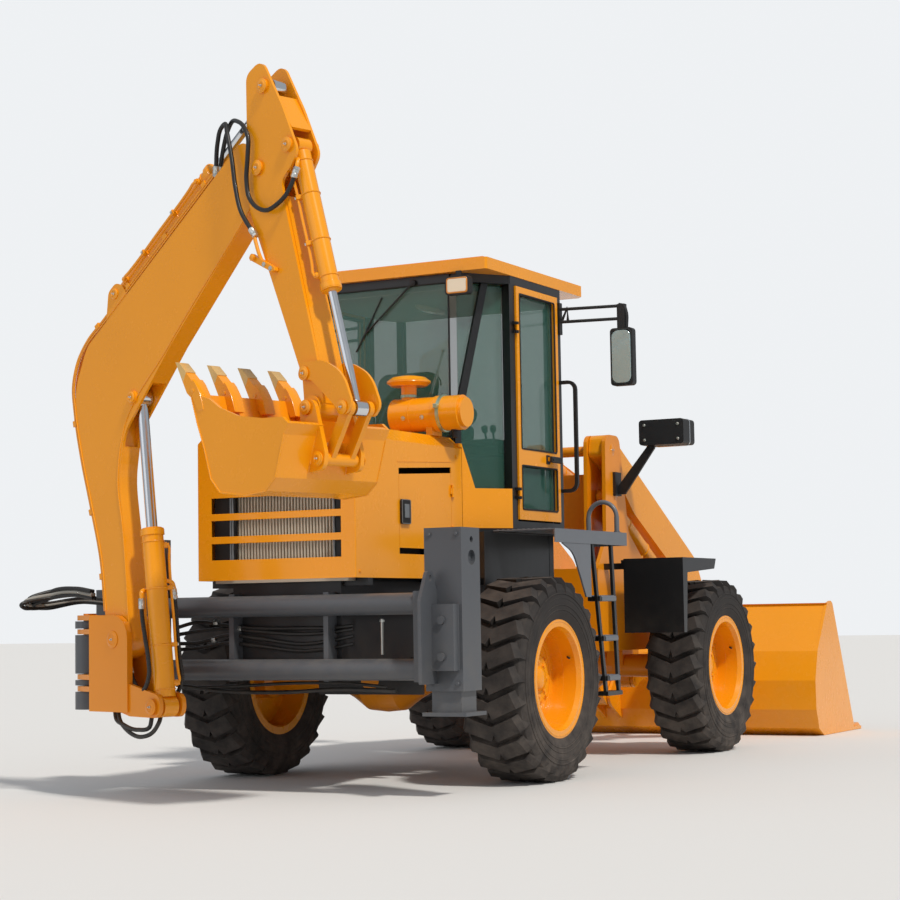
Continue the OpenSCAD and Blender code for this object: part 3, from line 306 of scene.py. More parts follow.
steel = finish_of("rod_chrome", "#d8dbde", "rod_chrome", gloss=0.14, drift=0.03, metallic=1.0, dust=0.0, low=0.0,
                  bump=0.0)


# %% Glass
window = bpy.data.materials.new("window_glass")
window.use_nodes = True
for label, value in {"Base Color": linear("#3f6a5e"), "Roughness": 0.03, "Alpha": 0.42,
                     "Specular IOR Level": 0.6}.items():
    window.node_tree.nodes["Principled BSDF"].inputs[label].default_value = value

# %% Finish of each CAD node
looks = {slots[look.name]: look for look in (yellow, deep_yellow, grey_paint, black_paint, steel, tyre_rubber,
                                             fins, iron, cushion_cloth, plastic)}
looks["window"] = window
# The rear frame gets near black as painted shade, and the platforms a lighter grey as painted light.
special = {"rear_frame": frame_painted_shade, "platforms": step_grey_painted_light}
slot_of = {s["node"]: s["material_slot"] for s in frame["record"]["subparts"]}
for name, node in nodes.items():
    for slot in node.material_slots:
        slot.link = "OBJECT"
        slot.material = special.get(name) or looks[slot_of[name]]
print("finishes on", len(nodes), "nodes")

# %% [markdown]
# ## Shapes from arrays
# Each new piece is a surface worked out as whole arrays: a profile turned about an axis, a section carried
# along a path, or an outline given a thickness. One helper puts such arrays into a mesh, and turns a closed
# shell right side out by the sign of its volume.

# %% Mesh helpers
# A closed tip's radius, and the distance under which its points are merged to one, in metres.
TIP, MERGE = 1e-5, 5e-5


def outward(points, faces):
    """Faces turned round where the shell's volume, summed over triangle fans, comes out negative."""
    a, b, c, d = (points[faces[:, i]] for i in range(4))
    volume = (a * (np.cross(b, c) + np.cross(c, d))).sum()
    return faces if volume > 0 else faces[:, ::-1]


def ring_faces(rings, count):
    """Four-cornered faces between neighbouring points of closed rings that are stored one after another."""
    a, b = np.meshgrid(np.arange(rings - 1), np.arange(count), indexing="ij")
    c, d = a + 1, (b + 1) % count
    return np.stack([a * count + b, c * count + b, c * count + d, a * count + d], -1).reshape(-1, 4)


def unit(v):
    """A vector, or each row of an array of them, at length one."""
    v = np.asarray(v, float)
    return v / np.linalg.norm(v, axis=-1, keepdims=True)


def joined(shells):
    """Several shells of (points, four-cornered faces) as one."""
    points, faces, start = [], [], 0
    for p, f in shells:
        points.append(p)
        faces.append(f + start)
        start += len(p)
    return np.vstack(points), np.vstack(faces)


def piece(name, look, *shells, body="rear_body", smooth=35):
    """A mesh from shells whose end rings, 0.02 mm wide, are merged to closed tips; faces that meet under the
    given angle are smoothed, and the piece rides on a body when one is given."""
    points, faces = joined(shells)
    mesh = bpy.data.meshes.new(name)
    mesh.from_pydata(points.tolist(), [], faces.tolist())
    shape = bmesh.new()
    shape.from_mesh(mesh)
    bmesh.ops.remove_doubles(shape, verts=shape.verts, dist=MERGE)
    shape.to_mesh(mesh)
    shape.free()
    mesh.materials.append(look)
    out = bpy.data.objects.new(name, mesh)
    scene.collection.objects.link(out)
    if smooth:
        mesh.shade_smooth()
        mesh.set_sharp_from_angle(angle=math.radians(smooth))
    if body:
        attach(out, body)
    return out


def copies(points, faces, moves):
    """The same shell repeated: moves is an array of 4 by 4 matrices, applied to all points at once."""
    n = len(points)
    homogeneous = np.hstack([points, np.ones((n, 1))])
    out = np.einsum("kij,nj->kni", moves, homogeneous)[..., :3].reshape(-1, 3)
    steps = (np.arange(len(moves)) * n)[:, None, None]
    return out, (faces[None] + steps).reshape(-1, faces.shape[1])


def frames(places, directions):
    """4 by 4 matrices, one for each place, whose third axis lies along its direction or the one that all share."""
    places = np.atleast_2d(places)
    w = unit(np.broadcast_to(directions, places.shape))
    helper = np.where(np.abs(w[:, 2:3]) < 0.9, [[0.0, 0.0, 1.0]], [[1.0, 0.0, 0.0]])
    u = unit(np.cross(helper, w))
    out = np.zeros((len(w), 4, 4))
    out[:, :3, 0], out[:, :3, 1], out[:, :3, 2] = u, np.cross(w, u), w
    out[:, :3, 3], out[:, 3, 3] = places, 1
    return out


def turned(profile, segments):
    """A profile of (radius, height) points turned about the third axis; radius 0 at both ends closes it."""
    r, h = np.asarray(profile, float).T
    r = np.maximum(r, TIP)
    a = np.arange(segments) * 2 * np.pi / segments
    grid = np.stack([r[:, None] * np.cos(a), r[:, None] * np.sin(a), np.repeat(h[:, None], segments, 1)], -1)
    points = grid.reshape(-1, 3)
    return points, outward(points, ring_faces(len(r), segments))


def run_of(path):
    """The length run along a path up to each of its points."""
    return np.concatenate([[0], np.cumsum(np.linalg.norm(np.diff(path, axis=0), axis=1))])


def smooth_path(knots, count):
    """A curve through the knots: cubic pieces, each knot's slope taken from its two neighbours."""
    p = np.asarray(knots, float)
    t = run_of(p)
    m = np.gradient(p, t, axis=0)
    s = np.linspace(0, t[-1], count)
    i = np.clip(np.searchsorted(t, s) - 1, 0, len(t) - 2)
    h = (t[i + 1] - t[i])[:, None]
    x = ((s - t[i])[:, None]) / h
    return ((2 * x**3 - 3 * x**2 + 1) * p[i] + (x**3 - 2 * x**2 + x) * h * m[i]
            + (3 * x**2 - 2 * x**3) * p[i + 1] + (x**3 - x**2) * h * m[i + 1])


def tube(path, radius, segments=12, side=None):
    """A round section carried along a path: at each point the section lies square to the path, kept from
    twisting by one fixed side direction, which is the axis that the path runs along least unless one is
    given; both ends shrink to a point, which closes them."""
    p = np.asarray(path, float)
    t = unit(np.gradient(p, axis=0))
    if side is None:
        side = np.eye(3)[np.argmin(np.abs(t).max(axis=0))]
    u = np.cross(t, np.asarray(side, float))
    u /= np.maximum(np.linalg.norm(u, axis=1, keepdims=True), 1e-6)
    v = np.cross(t, u)
    r = np.broadcast_to(np.asarray(radius, float), (len(p),))
    p = np.concatenate([p[:1], p, p[-1:]])
    u, v = np.concatenate([u[:1], u, u[-1:]]), np.concatenate([v[:1], v, v[-1:]])
    r = np.concatenate([[TIP], r, [TIP]])
    a = np.arange(segments) * 2 * np.pi / segments
    ring = u[:, None] * np.cos(a)[None, :, None] + v[:, None] * np.sin(a)[None, :, None]
    points = (p[:, None] + r[:, None, None] * ring).reshape(-1, 3)
    return points, outward(points, ring_faces(len(p), segments))


def pipe(knots, radius=0.012, count=24, segments=12, side=None):
    """A tube along a smooth path."""
    return tube(smooth_path(knots, count), radius, segments, side)


print("shape helpers ready")

# %% [markdown]
# ## Where things sit
# Most of the trim is placed in millimetres, from the floor under the rear axle's middle. The digging arm is
# folded in a plane of its own, 17 degrees from straight across, so its hoses and pipes are laid out in that
# plane: out from the kingpin, across the plane, and up.

# %% Places
axle_y = next(j for j in frame["joints"] if j["name"] == "spin_rr")["pos_m"][1]
kingpin = np.array(next(j for j in frame["joints"] if j["name"] == "swing")["pos_m"])
ARM_TURN = math.radians(17)
RIGHTWARD, REARWARD, UPWARD = (1, 0, 0), (0, -1, 0), (0, 0, 1)


def at(points):
    """Millimetres from the floor under the rear axle's middle, as the frame's metres."""
    return np.asarray(points, float) / 1000 + np.array([0, axle_y, 0])


def hoe_at(points):
    """Millimetres (out, across, up) in the digging arm's plane, as the frame's metres: out runs along the
    cosine and minus the sine of the arm's turn, and across runs square to that."""
    p = np.asarray(points, float) / 1000
    c, s = math.cos(ARM_TURN), math.sin(ARM_TURN)
    x = kingpin[0] + p[..., 0] * c + p[..., 1] * s
    y = kingpin[1] - p[..., 0] * s + p[..., 1] * c
    return np.stack([x, y, p[..., 2]], -1)


def hoe_side(points):
    """The same for (out, up, across): an outline drawn in the arm's plane comes first, its depth last."""
    return hoe_at(points[..., [0, 2, 1]])


arm_side = unit(hoe_at([0, 1, 0]) - hoe_at([0, 0, 0]))
print("kingpin at", kingpin.round(3))

# %% Rings, blocks and beads
def lofted(rings):
    """Rings laid one after another as a grid; the first and the last shrink to their middle."""
    r = np.asarray(rings, float)
    mid = r[[0, -1]].mean(axis=1, keepdims=True)
    ends = mid + TIP * (r[[0, -1]] - mid)
    points = np.concatenate([ends[:1], r, ends[1:]]).reshape(-1, 3)
    return points, outward(points, ring_faces(len(r) + 2, r.shape[1]))


def rounded_ring(half_a, half_b, radius, n=4):
    """A rectangle with round corners: quarter circles of n steps whose middles stand in by the radius."""
    a = np.concatenate([np.linspace(0, np.pi / 2, n + 1) + k * np.pi / 2 for k in range(4)])
    sx = np.repeat([1, -1, -1, 1], n + 1)
    sy = np.repeat([1, 1, -1, -1], n + 1)
    return np.stack([sx * (half_a - radius) + radius * np.cos(a), sy * (half_b - radius) + radius * np.sin(a)], -1)


def block(lo, hi, along, radius, edge, place=at):
    """A box between two corners in millimetres: round rectangles carried along one axis, with the two end rings
    drawn in by the edge's width."""
    lo, hi = np.asarray(lo, float), np.asarray(hi, float)
    i, j = [k for k in range(3) if k != along]
    half, mid = (hi - lo) / 2, (hi + lo) / 2
    r = min(radius, half[i] * 0.98, half[j] * 0.98)
    rings = []
    for level, inset in ((lo[along], edge), (lo[along] + edge, 0), (hi[along] - edge, 0), (hi[along], edge)):
        flat = rounded_ring(half[i] - inset, half[j] - inset, max(r - inset, 0.3))
        ring = np.zeros((len(flat), 3))
        ring[:, i], ring[:, j], ring[:, along] = mid[i] + flat[:, 0], mid[j] + flat[:, 1], level
        rings.append(ring)
    return lofted(place(np.array(rings)))


def slab_shell(outline, lo, hi, put, edge):
    """An outline with a thickness: put turns (first, second, depth) into a place, and the end rings are scaled
    toward the middle by the edge's share of the outline's mean radius."""
    o = np.asarray(outline, float)
    mid = o.mean(axis=0)
    share = 1 - edge / np.linalg.norm(o - mid, axis=1).mean()
    small = mid + (o - mid) * share
    rings = [np.column_stack([s, np.full(len(o), d)])
             for s, d in ((small, lo), (o, lo + edge), (o, hi - edge), (small, hi))]
    return lofted(put(np.array(rings)))


def bead(path, radius=0.004, pitch=0.013):
    """A weld bead: a thin tube along the path whose radius rises and falls once in each pitch."""
    run = run_of(path)
    s = np.linspace(0, run[-1], max(int(run[-1] / pitch * 2.5), 4))
    q = np.stack([np.interp(s, run, path[:, k]) for k in range(3)], -1)
    return tube(q, radius * (1 + 0.22 * np.sin(2 * np.pi * s / pitch)), 6, side=(0.31, 0.52, 0.79))


def hex_heads(places, direction, across, height, washer=True):
    """Bolt heads: a six-sided turned form with its outer corners drawn in, on a flat washer, at each place."""
    r = across / 1000 / 2 / math.cos(math.pi / 6)
    h = height / 1000
    moves = frames(places, direction)
    out = [copies(*turned([(0, 0.001), (r, 0.001), (r, h * 0.85), (r * 0.86, h), (0, h)], 6), moves)]
    if washer:
        out.append(copies(*turned([(0, 0), (r * 1.45, 0), (r * 1.45, 0.0022), (0, 0.0022)], 16), moves))
    return joined(out)


def collar(place, direction, rings, segments=20):
    """A turned fitting: (height, radius) pairs in millimetres along its direction."""
    profile = [(0, rings[0][0] / 1000)] + [(r / 1000, h / 1000) for h, r in rings] + [(0, rings[-1][0] / 1000)]
    return copies(*turned(profile, segments), frames(place, direction))


kept = {}


def keep(name, body, look, *shells):
    """Holds shells that belong to one piece until all of them are made."""
    kept.setdefault(name, (body, look, []))[2].extend(shells)


print("trim helpers ready")

# %% [markdown]
# ## Hose rubber and plated fittings
# A pressure hose is matt black rubber with a fine cross weave under it; its crimped ends are bright zinc. Both
# use the shared weather group, so dust lies on them as it does on the rest.

# %% Hose finishes
hose_rubber = finish_of("hose_rubber", "#131314", "plastic", gloss=0.42, drift=0.05, dust=0.12, low=0.1,
                        grain=420, bump=0.3)
zinc = finish_of("zinc_plate", "#cfd0cb", "rod_chrome", gloss=0.3, drift=0.05, metallic=0.9, dust=0.05,
                 low=0.05, bump=0.04)
# A pale grey woven sleeve, which on two hoses of the swing bundle also stands for the bundle's highlights: partly
# painted highlight.
sleeve_and_highlight = finish_of("hose_sleeve_and_highlight", "#8d8c86", "plastic", gloss=0.7, drift=0.5, dust=0.1, low=0.1,
                         grain=240, bump=0.4)
HOSE_RADIUS = 0.0115
GUARD_PITCH = 0.009


def hose(name, knots, count, ends=(), body=None, rib=0.0, radius=HOSE_RADIUS, look=hose_rubber):
    """A hose through the knots, with a crimped ferrule and a six-sided nut at each end, on the body that holds
    that end; rib is the share by which a spiral guard swells the tube. Without a body the hose itself rides on
    none."""
    path = smooth_path(knots, count)
    swell = 1 + rib * np.sin(2 * np.pi * run_of(path) / GUARD_PITCH)
    out = piece(name, look, tube(path, radius * swell, 14, side=(0.3, 0.9, 0.3)), body=body)
    r = radius * 1000
    ferrule = [(0, r * 1.05), (8, r * 1.05), (9, r * 1.5), (24, r * 1.5), (26, r * 1.32), (32, r * 1.5),
               (46, r * 1.5), (50, r * 1.1)]
    nut = [(0, r * 1.3), (1, r * 1.45), (15, r * 1.45), (16, r * 1.3)]
    for holder, (p, q) in zip(ends, ((path[0], path[3]), (path[-1], path[-4]))):
        way = unit(q - p)
        keep("hose_ends_" + holder, holder, zinc,
             collar(p - way * 0.022, way, ferrule), collar(p - way * 0.03, way, nut, 6))
    return out


# %% [markdown]
# ## Pipes and hoses of the digging arm
# Two hard pipes run up the boom's back and carry oil to the dipper. They end in flexible hoses that loop over
# the joint, one down to a bracket on the dipper and one round to the bucket cylinder. Each hose crosses the joint,
# so it rides on no body: its fittings at the start sit on the boom and those at the end on the dipper.

# %% Boom pipes
back_line = np.array([[226, 1010], [190, 1280], [96, 1590], [10, 1853], [-50, 2100], [-66, 2260], [-24, 2380],
                      [60, 2478], [201, 2572], [700, 2911], [1180, 3237]], float)
PIPE_RADIUS, PIPE_OFF, BEAD_OFF, FINE = 0.0095, 17, -7, 400


def back_path(offset, across, count=160):
    """The boom's back line moved outward: each point goes along the line's own left-hand normal."""
    p = smooth_path(np.column_stack([back_line, np.zeros(len(back_line))]), count)[:, :2]
    t = unit(np.gradient(p, axis=0))
    p = p + np.column_stack([-t[:, 1], t[:, 0]]) * offset
    return hoe_at(np.column_stack([p[:, 0], np.full(count, across), p[:, 1]]))


keep("boom_pipes", "hoe_boom", yellow,
     *[tube(back_path(PIPE_OFF, w), PIPE_RADIUS, 12, side=arm_side) for w in (-46, -22, 24, 46)])
clamp_spots = [(206, 1200), (118, 1560), (-20, 2050), (150, 2572), (430, 2760), (760, 2985), (1090, 3208)]
back, over_back = back_path(0, 0, FINE), back_path(40, 0, FINE)
clamp_ring = rounded_ring(26, 15, 5) / 1000
CLAMP_OUT, BOLT_OUT = 0.019, 0.034
for u, z in clamp_spots:
    near = np.argmin(np.linalg.norm(back - hoe_at([u, 0, z]), axis=1))
    way = unit(back[min(near + 2, FINE - 1)] - back[max(near - 2, 0)])
    out_of = np.cross(way, arm_side)
    out_of *= np.sign(out_of @ (over_back[near] - back[near]))
    for shift in (-0.034, 0.035):
        spot = back[near] + arm_side * shift
        keep("boom_pipe_clamps", "hoe_boom", yellow,
             lofted([spot + out_of * CLAMP_OUT + way * d + clamp_ring[:, :1] * arm_side
                     + clamp_ring[:, 1:] * out_of for d in (-0.016, 0.016)]))
        keep("boom_pipe_bolts", "hoe_boom", zinc, hex_heads(spot + out_of * BOLT_OUT, out_of, 15, 9))
print("clamps:", len(clamp_spots) * 2)

# %% Hoses over the dipper joint
elbow_hose = hose("hose_dipper_lower", hoe_at([
    (1190, -46, 3258), (1206, -48, 3400), (1232, -50, 3468), (1284, -60, 3489), (1329, -84, 3433),
    (1384, -97, 3276), (1417, -104, 3135), (1469, -108, 2994), (1508, -108, 2940), (1558, -106, 2880)]),
    140, ("hoe_boom", "hoe_dipper"))
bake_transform(elbow_hose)
loop_hose = hose("hose_bucket_cylinder", hoe_at([
    (1192, -22, 3260), (1226, -24, 3380), (1268, -30, 3460), (1319, -44, 3494), (1405, -74, 3477),
    (1477, -97, 3436), (1522, -105, 3369), (1521, -108, 3271), (1511, -108, 3150), (1529, -108, 3065),
    (1595, -108, 3000), (1669, -108, 2977), (1747, -106, 2997), (1807, -100, 3036), (1840, -88, 3094),
    (1850, -76, 3140)]), 200, ("hoe_boom", "hoe_dipper"))
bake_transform(loop_hose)

# %% Dipper pipes and bracket
bracket_edge = [(1530, 2768), (1540, 2776), (1718, 2684), (1722, 2668), (1700, 2662), (1532, 2744)]
keep("dipper_pipes", "hoe_dipper", yellow,
     pipe(hoe_at([(1562, -106, 2872), (1580, -106, 2820), (1598, -104, 2770), (1612, -96, 2730)]), PIPE_RADIUS),
     pipe(hoe_at([(1850, -74, 3146), (1852, -66, 3180), (1846, -56, 3205), (1836, -48, 3216)]), 0.011),
     slab_shell(bracket_edge, -108, -80, hoe_side, 3),
     collar(hoe_at([1560, -104, 2752]), -arm_side, [(0, 16), (2, 18), (18, 18), (20, 14)], 6))
keep("hose_ends_hoe_dipper", "hoe_dipper", zinc,
     hex_heads(hoe_at([(1690, -108, 2682), (1640, -108, 2708)]), -arm_side, 15, 8))
print("dipper lines ready")

# %% [markdown]
# ## Hoses at the boom's foot
# Below, short hoses with a spiral guard join the swing post to the boom cylinder, two loops hang under the post,
# and a flat bundle swings out to the left, so that the post can turn without pulling on them. The bundle is
# kept near the machine's width and bulges to the rear, which looks the same from the camera's side.

# %% Foot hoses
near_hose = hose("hose_boom_cylinder_near", hoe_at([
    (575, -76, 1040), (582, -80, 1000), (615, -84, 865), (643, -86, 763), (648, -84, 669),
    (598, -78, 592), (510, -56, 597), (440, -40, 655), (398, -20, 690)]), 200, ("boom_cyl", "post"), rib=0.12)
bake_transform(near_hose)
far_hose = hose("hose_boom_cylinder_far", hoe_at([
    (655, 78, 1090), (664, 82, 1000), (672, 88, 860), (684, 92, 740), (690, 100, 640), (640, 106, 570),
    (560, 108, 548)]), 180, ("boom_cyl", "post"), rib=0.12)
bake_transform(far_hose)
keep("cylinder_elbows", "boom_cyl", yellow,
     pipe(hoe_at([(575, -74, 1046), (572, -74, 1080), (566, -68, 1104), (560, -52, 1112), (556, -36, 1112)])),
     pipe(hoe_at([(655, 76, 1096), (655, 74, 1130), (650, 64, 1154), (640, 50, 1160), (628, 36, 1160)])))
for tag, spread, drop in (("a", 0, 0), ("b", -30, 26)):
    hose("hose_under_post_" + tag, hoe_at([
        (300 + spread, -30, 486), (330 + spread, -42, 430), (402 + spread, -50, 377 + drop),
        (529 + spread, -50, 342 + drop * 1.4), (625 + spread, -40, 372 + drop),
        (660 + spread * 2, -30, 420 + drop), (640 + spread * 2, 0, 462)]), 90, body="post")

# %% Swing bundle
BUNDLE = 6
OUTERMOST = -1228
ALONG_VIEW = np.array([1, -1.35, 0])
for k in range(BUNDLE):
    lift, reach, wide = 9 * (k % 3), 430 - 26 * k, 150 + 16 * k
    knots = np.array([(-940, -1340, 1046 + lift), (-1010, -1392, 1050 + lift), (-1130, -1450, 1062 + lift),
                      (-970 - reach, -1560 + 6 * k, 1030 + lift * 1.4), (-978 - reach, -1612, 1034 + lift * 1.6),
                      (-960 - reach, -1650 - 5 * k, 1040 + lift * 1.8),
                      (-1130, -1672 - wide * 0.2, 1090 + lift * 2), (-1000, -1666 - 6 * k, 1098 + lift * 2),
                      (-900, -1648 - 8 * k, 1080 + lift * 2)], float)
    # What would stand out too far to the left goes to the rear instead, along the camera's view.
    over = np.maximum(OUTERMOST - knots[:, 0], 0)
    # Hoses 1 and 4 wear the pale sleeve, partly painted highlight.
    one = hose("swing_hose_%d" % k, at(knots + over[:, None] * ALONG_VIEW), 110, radius=0.0112,
               look=sleeve_and_highlight if k in (1, 4) else hose_rubber)
    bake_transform(one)
print("hoses in the bundle:", BUNDLE)

# %% [markdown]
# ## Cab, lamps and mirrors
# Small fittings give the cab its look: black rubber round each pane, a pale roof lining with an oval lamp, a
# wiper, lenses with bright rims, mirror glass and a plain column of grips. Each one sits on the part that holds
# it, and a thing that is there on both sides is mirrored across the machine's middle.

# %% Finishes of fittings
clean = {"dust": 0.0, "low": 0.0}
lens_glass = finish_of("lamp_lens", "#e6d8bd", "plastic", gloss=0.12, drift=0.03, bump=0.0, coat=0.6, **clean)
amber = finish_of("amber_rim", "#d98f3a", "plastic", gloss=0.2, drift=0.03, bump=0.0, coat=0.5, **clean)
silver = finish_of("silver_rim", "#d5d8da", "rod_chrome", gloss=0.16, drift=0.03, metallic=0.95, bump=0.0,
                   **clean)
mirror_glass = finish_of("mirror_glass", "#a9c3c6", "rod_chrome", gloss=0.06, drift=0.3, metallic=0.35,
                         bump=0.0, **clean)
seal_rubber = finish_of("seal_rubber", "#0e0e0f", "plastic", gloss=0.6, drift=0.05, dust=0.04, low=0.0,
                        grain=300, bump=0.1)
lining = finish_of("roof_lining", "#bfc7bf", "plastic", gloss=0.85, drift=0.06, grain=500, bump=0.2, **clean)
band_zinc = finish_of("band_zinc", "#a9bda6", "rod_chrome", gloss=0.3, drift=0.05, metallic=0.75, **clean)
# Near black for the latch pockets and the gaps beside the fins: painted shade.
shade_black = finish_of("recess_painted_shade", "#0a0a0b", "plastic", gloss=0.6, drift=0.05, dust=0.03, low=0.0)
paddle = finish_of("latch_paddle", "#7f8487", "rod_chrome", gloss=0.35, drift=0.05, metallic=0.6, dust=0.02,
                   low=0.0)
worn_steel = finish_of("worn_steel", "#e0b874", "rod_chrome", gloss=0.4, drift=1.2, metallic=0.3, dust=0.1,
                       low=0.0, grain=90, bump=0.3)
cap_green = finish_of("cap_green", "#b5b04a", "yellow_paint", gloss=0.35, drift=0.1)
print("fitting finishes ready")


# %% Both sides, loops and circles
def on_both(name, look, *shells, body="rear_body"):
    """The same piece on the right and the left, where X changes sign and the faces turn round to point outward;
    a star in the body's name stands for the side."""
    points, faces = joined(shells)
    for side, form in (("right", (points, faces)), ("left", (points * [-1, 1, 1], faces[:, ::-1]))):
        piece(name + "_" + side, look, form, body=body.replace("*", side))


def loop(mid, halves, radius, normal, wire, n=5):
    """A closed wire along a rectangle with round corners, square to one axis, in millimetres."""
    flat = rounded_ring(halves[0], halves[1], radius, n)
    flat = np.vstack([flat, flat[:1]])
    i, j = [k for k in range(3) if k != normal]
    path = np.zeros((len(flat), 3))
    path[:, i], path[:, j], path[:, normal] = mid[i] + flat[:, 0], mid[j] + flat[:, 1], mid[normal]
    return tube(at(path), wire / 1000, 8, side=np.eye(3)[normal])


def circle(place, normal, radius, wire, count=64):
    """A closed wire along a circle round a direction: the place in metres, radius and wire in millimetres."""
    a = np.linspace(0, 2 * np.pi, count + 1)
    move = frames(place, normal)[0]
    path = place + radius / 1000 * (np.cos(a)[:, None] * move[:3, 0] + np.sin(a)[:, None] * move[:3, 1])
    return tube(path, wire / 1000, 8, side=move[:3, 2])


# %% Seals and grips of the doors
on_both("door_seals", seal_rubber, body="cab_door_*",
        *[loop((x, 653, z), (half_y, half_z), 14, 0, wire)
          for x, half_y, grow, wire in ((711, 247, 0, 5), (687, 249, 2, 6))
          for z, half_z in ((1715, 132 + grow), (2417.5, 469.5 + grow))])
on_both("door_grips", plastic, block((730, 752, 1880), (750, 893, 1920), 1, 9, 3),
        block((708, 744, 1872), (716, 792, 1928), 0, 6, 2),
        collar(at((749, 768, 1900)), RIGHTWARD, [(0, 9), (5, 9), (6, 7)]), body="cab_door_*")
# Each hood latch pocket is a near-black block: painted shade.
on_both("hood_latches", shade_black, block((506.5, -738, 1466), (521, -636, 1604), 0, 12, 2), body="hood_door_*")
on_both("hood_paddles", paddle, block((520, -712, 1500), (527, -662, 1578), 0, 6, 2),
        loop((521, -687, 1535), (48, 66), 10, 0, 2.5), body="hood_door_*")

# %% Cab trim
piece("rear_window_seal", seal_rubber, loop((0, 35, 2470), (424, 463), 20, 1, 6),
      loop((0, 1178, 2318), (512, 616), 20, 1, 6))
roof_edge = [(-398, 74), (398, 74), (596, 352), (600, 1000), (520, 1150), (-520, 1150), (-600, 1000), (-596, 352)]
piece("roof_lining", lining, slab_shell(roof_edge, 2896, 2932, at, 6))
oval = np.linspace(0, 2 * np.pi, 40, endpoint=False)
dome = [np.column_stack([-50 + 34 * s * np.cos(oval), 680 + 190 * s * np.sin(oval), np.full(len(oval), z)])
        for s, z in ((0.72, 2868), (0.93, 2874), (1.0, 2884), (1.0, 2898))]
piece("roof_lamp", lens_glass, lofted(at(dome)))
piece("wiper", plastic, tube(at([(192, 24, 2948), (150, 22, 2915), (0, 24, 2788), (-150, 26, 2662)]), 0.006, 10),
      tube(at([(-30, 32, 2880), (-95, 31, 2765), (-160, 31, 2650), (-215, 32, 2560)]), 0.0055, 8),
      collar(at((192, 28, 2948)), REARWARD, [(0, 20), (16, 20), (20, 14)]))
piece("window_strut", silver, tube(at([(283, 62, 2277), (330, 62, 2414)]), 0.010, 14),
      tube(at([(322, 62, 2392), (369, 62, 2529)]), 0.006, 12),
      *[collar(at((x, 62, z)), REARWARD, [(0, r), (14, r)]) for x, z, r in ((283, 2277, 10), (369, 2529, 9))])
piece("wheel_knob", plastic,
      collar(at((120, 800, 2240)), (0, -0.574, 0.819), [(0, 9), (30, 9), (32, 22), (52, 25), (60, 16)]))
grips = []
for x, y, lean in ((-250, 870, -0.1), (-200, 860, 0.05), (215, 862, 0.0), (262, 872, 0.12)):
    grips += [tube(at([(x, y + 60, 2010), (x + 40 * lean, y + 30, 2110)]), 0.007, 10),
              collar(at((x + 40 * lean, y + 32, 2102)), (lean, -0.3, 1), [(0, 12), (10, 19), (34, 21), (48, 12)])]
piece("lever_grips", plastic, *grips)
piece("dash", plastic, block((-290, 850, 2014), (290, 1064, 2062), 0, 40, 8),
      block((-120, 868, 2060), (120, 930, 2150), 0, 26, 6))
# A black side console beside the seat; seen through the lower corner glass it also stands in for a dark reflection
# there, a painted reflection.
piece("side_console", plastic, block((296, 400, 1512), (652, 880, 1905), 2, 46, 12),
      block((330, 440, 1900), (610, 800, 1930), 2, 40, 8))

# %% Lamps and mirrors
on_both("rear_lamp_lens", lens_glass, block((464, -55, 2856), (588, -48, 2934), 1, 12, 1.5))
on_both("rear_lamp_rim", amber, block((456, -52, 2848), (596, -46, 2942), 1, 16, 1.5),
        loop((526, -53, 2895), (66, 43), 12, 1, 3))
on_both("mirror_glass", mirror_glass, block((1042, 1024, 2376), (1168, 1031, 2704), 1, 40, 1.5))
on_both("mirror_rim", plastic, loop((1105, 1030, 2540), (68, 170), 38, 1, 5),
        tube(at([(722, 985, 2780), (760, 992, 2870), (762, 992, 2790)]), 0.009, 10),
        pipe(at([(1086, 1048, 2868), (1118, 1052, 2858), (1132, 1054, 2820), (1132, 1054, 2720)]), count=16))
on_both("headlamp_lens", lens_glass, block((790, 2299, 2092), (1050, 2316, 2218), 1, 52, 5), body="front_body")
on_both("headlamp_rim", silver, loop((920, 2299, 2155), (150, 76), 50, 1, 11),
        loop((920, 2216, 2155), (160, 85), 20, 1, 3), body="front_body")
on_both("headlamp_bolts", zinc, hex_heads(at([(x, 2099, z) for z in (2105, 2205) for x in (800, 1040)]),
                                          REARWARD, 13, 7), body="front_body")
print("cab fittings ready")

# %% [markdown]
# ## Air cleaner, hood and grille
# A bright band holds the cleaner's cap, and a rubber drain hangs under it. Behind the grille bars near-black
# shrouds close the gap on both sides of the fins as painted shade, and fine rolled edges and bolts finish the
# hood.

# %% Air cleaner
CLEANER = (-165, 2128)
piece("cleaner_band", band_zinc,
      collar(at((484, *CLEANER)), RIGHTWARD, [(0, 107), (1, 110), (19, 110), (20, 107)], 64),
      block((482, -292, 2150), (506, -262, 2176), 0, 4, 2),
      collar(at((257, -165, 2232)), UPWARD, [(0, 47), (1, 50), (16, 50), (17, 47)], 40))
piece("cleaner_drain", plastic, collar(at((560, -165, 2036)), (0, 0, -1),
                                       [(0, 26), (12, 26), (14, 15), (40, 17), (52, 17), (56, 8)]))
piece("cleaner_bolts", zinc,
      hex_heads(at([(269, -262.5, 2104), (393, -262.5, 2104)]), (0, -0.97, -0.24), 17, 9))
piece("cleaner_rings", yellow,
      *[circle(at((x, *CLEANER)), RIGHTWARD, r, 2.6) for x, r in ((172, 99), (300, 100), (616, 97))],
      *[circle(at((257, -165, z)), UPWARD, r, 3) for z, r in ((2322, 128), (2304, 46))])

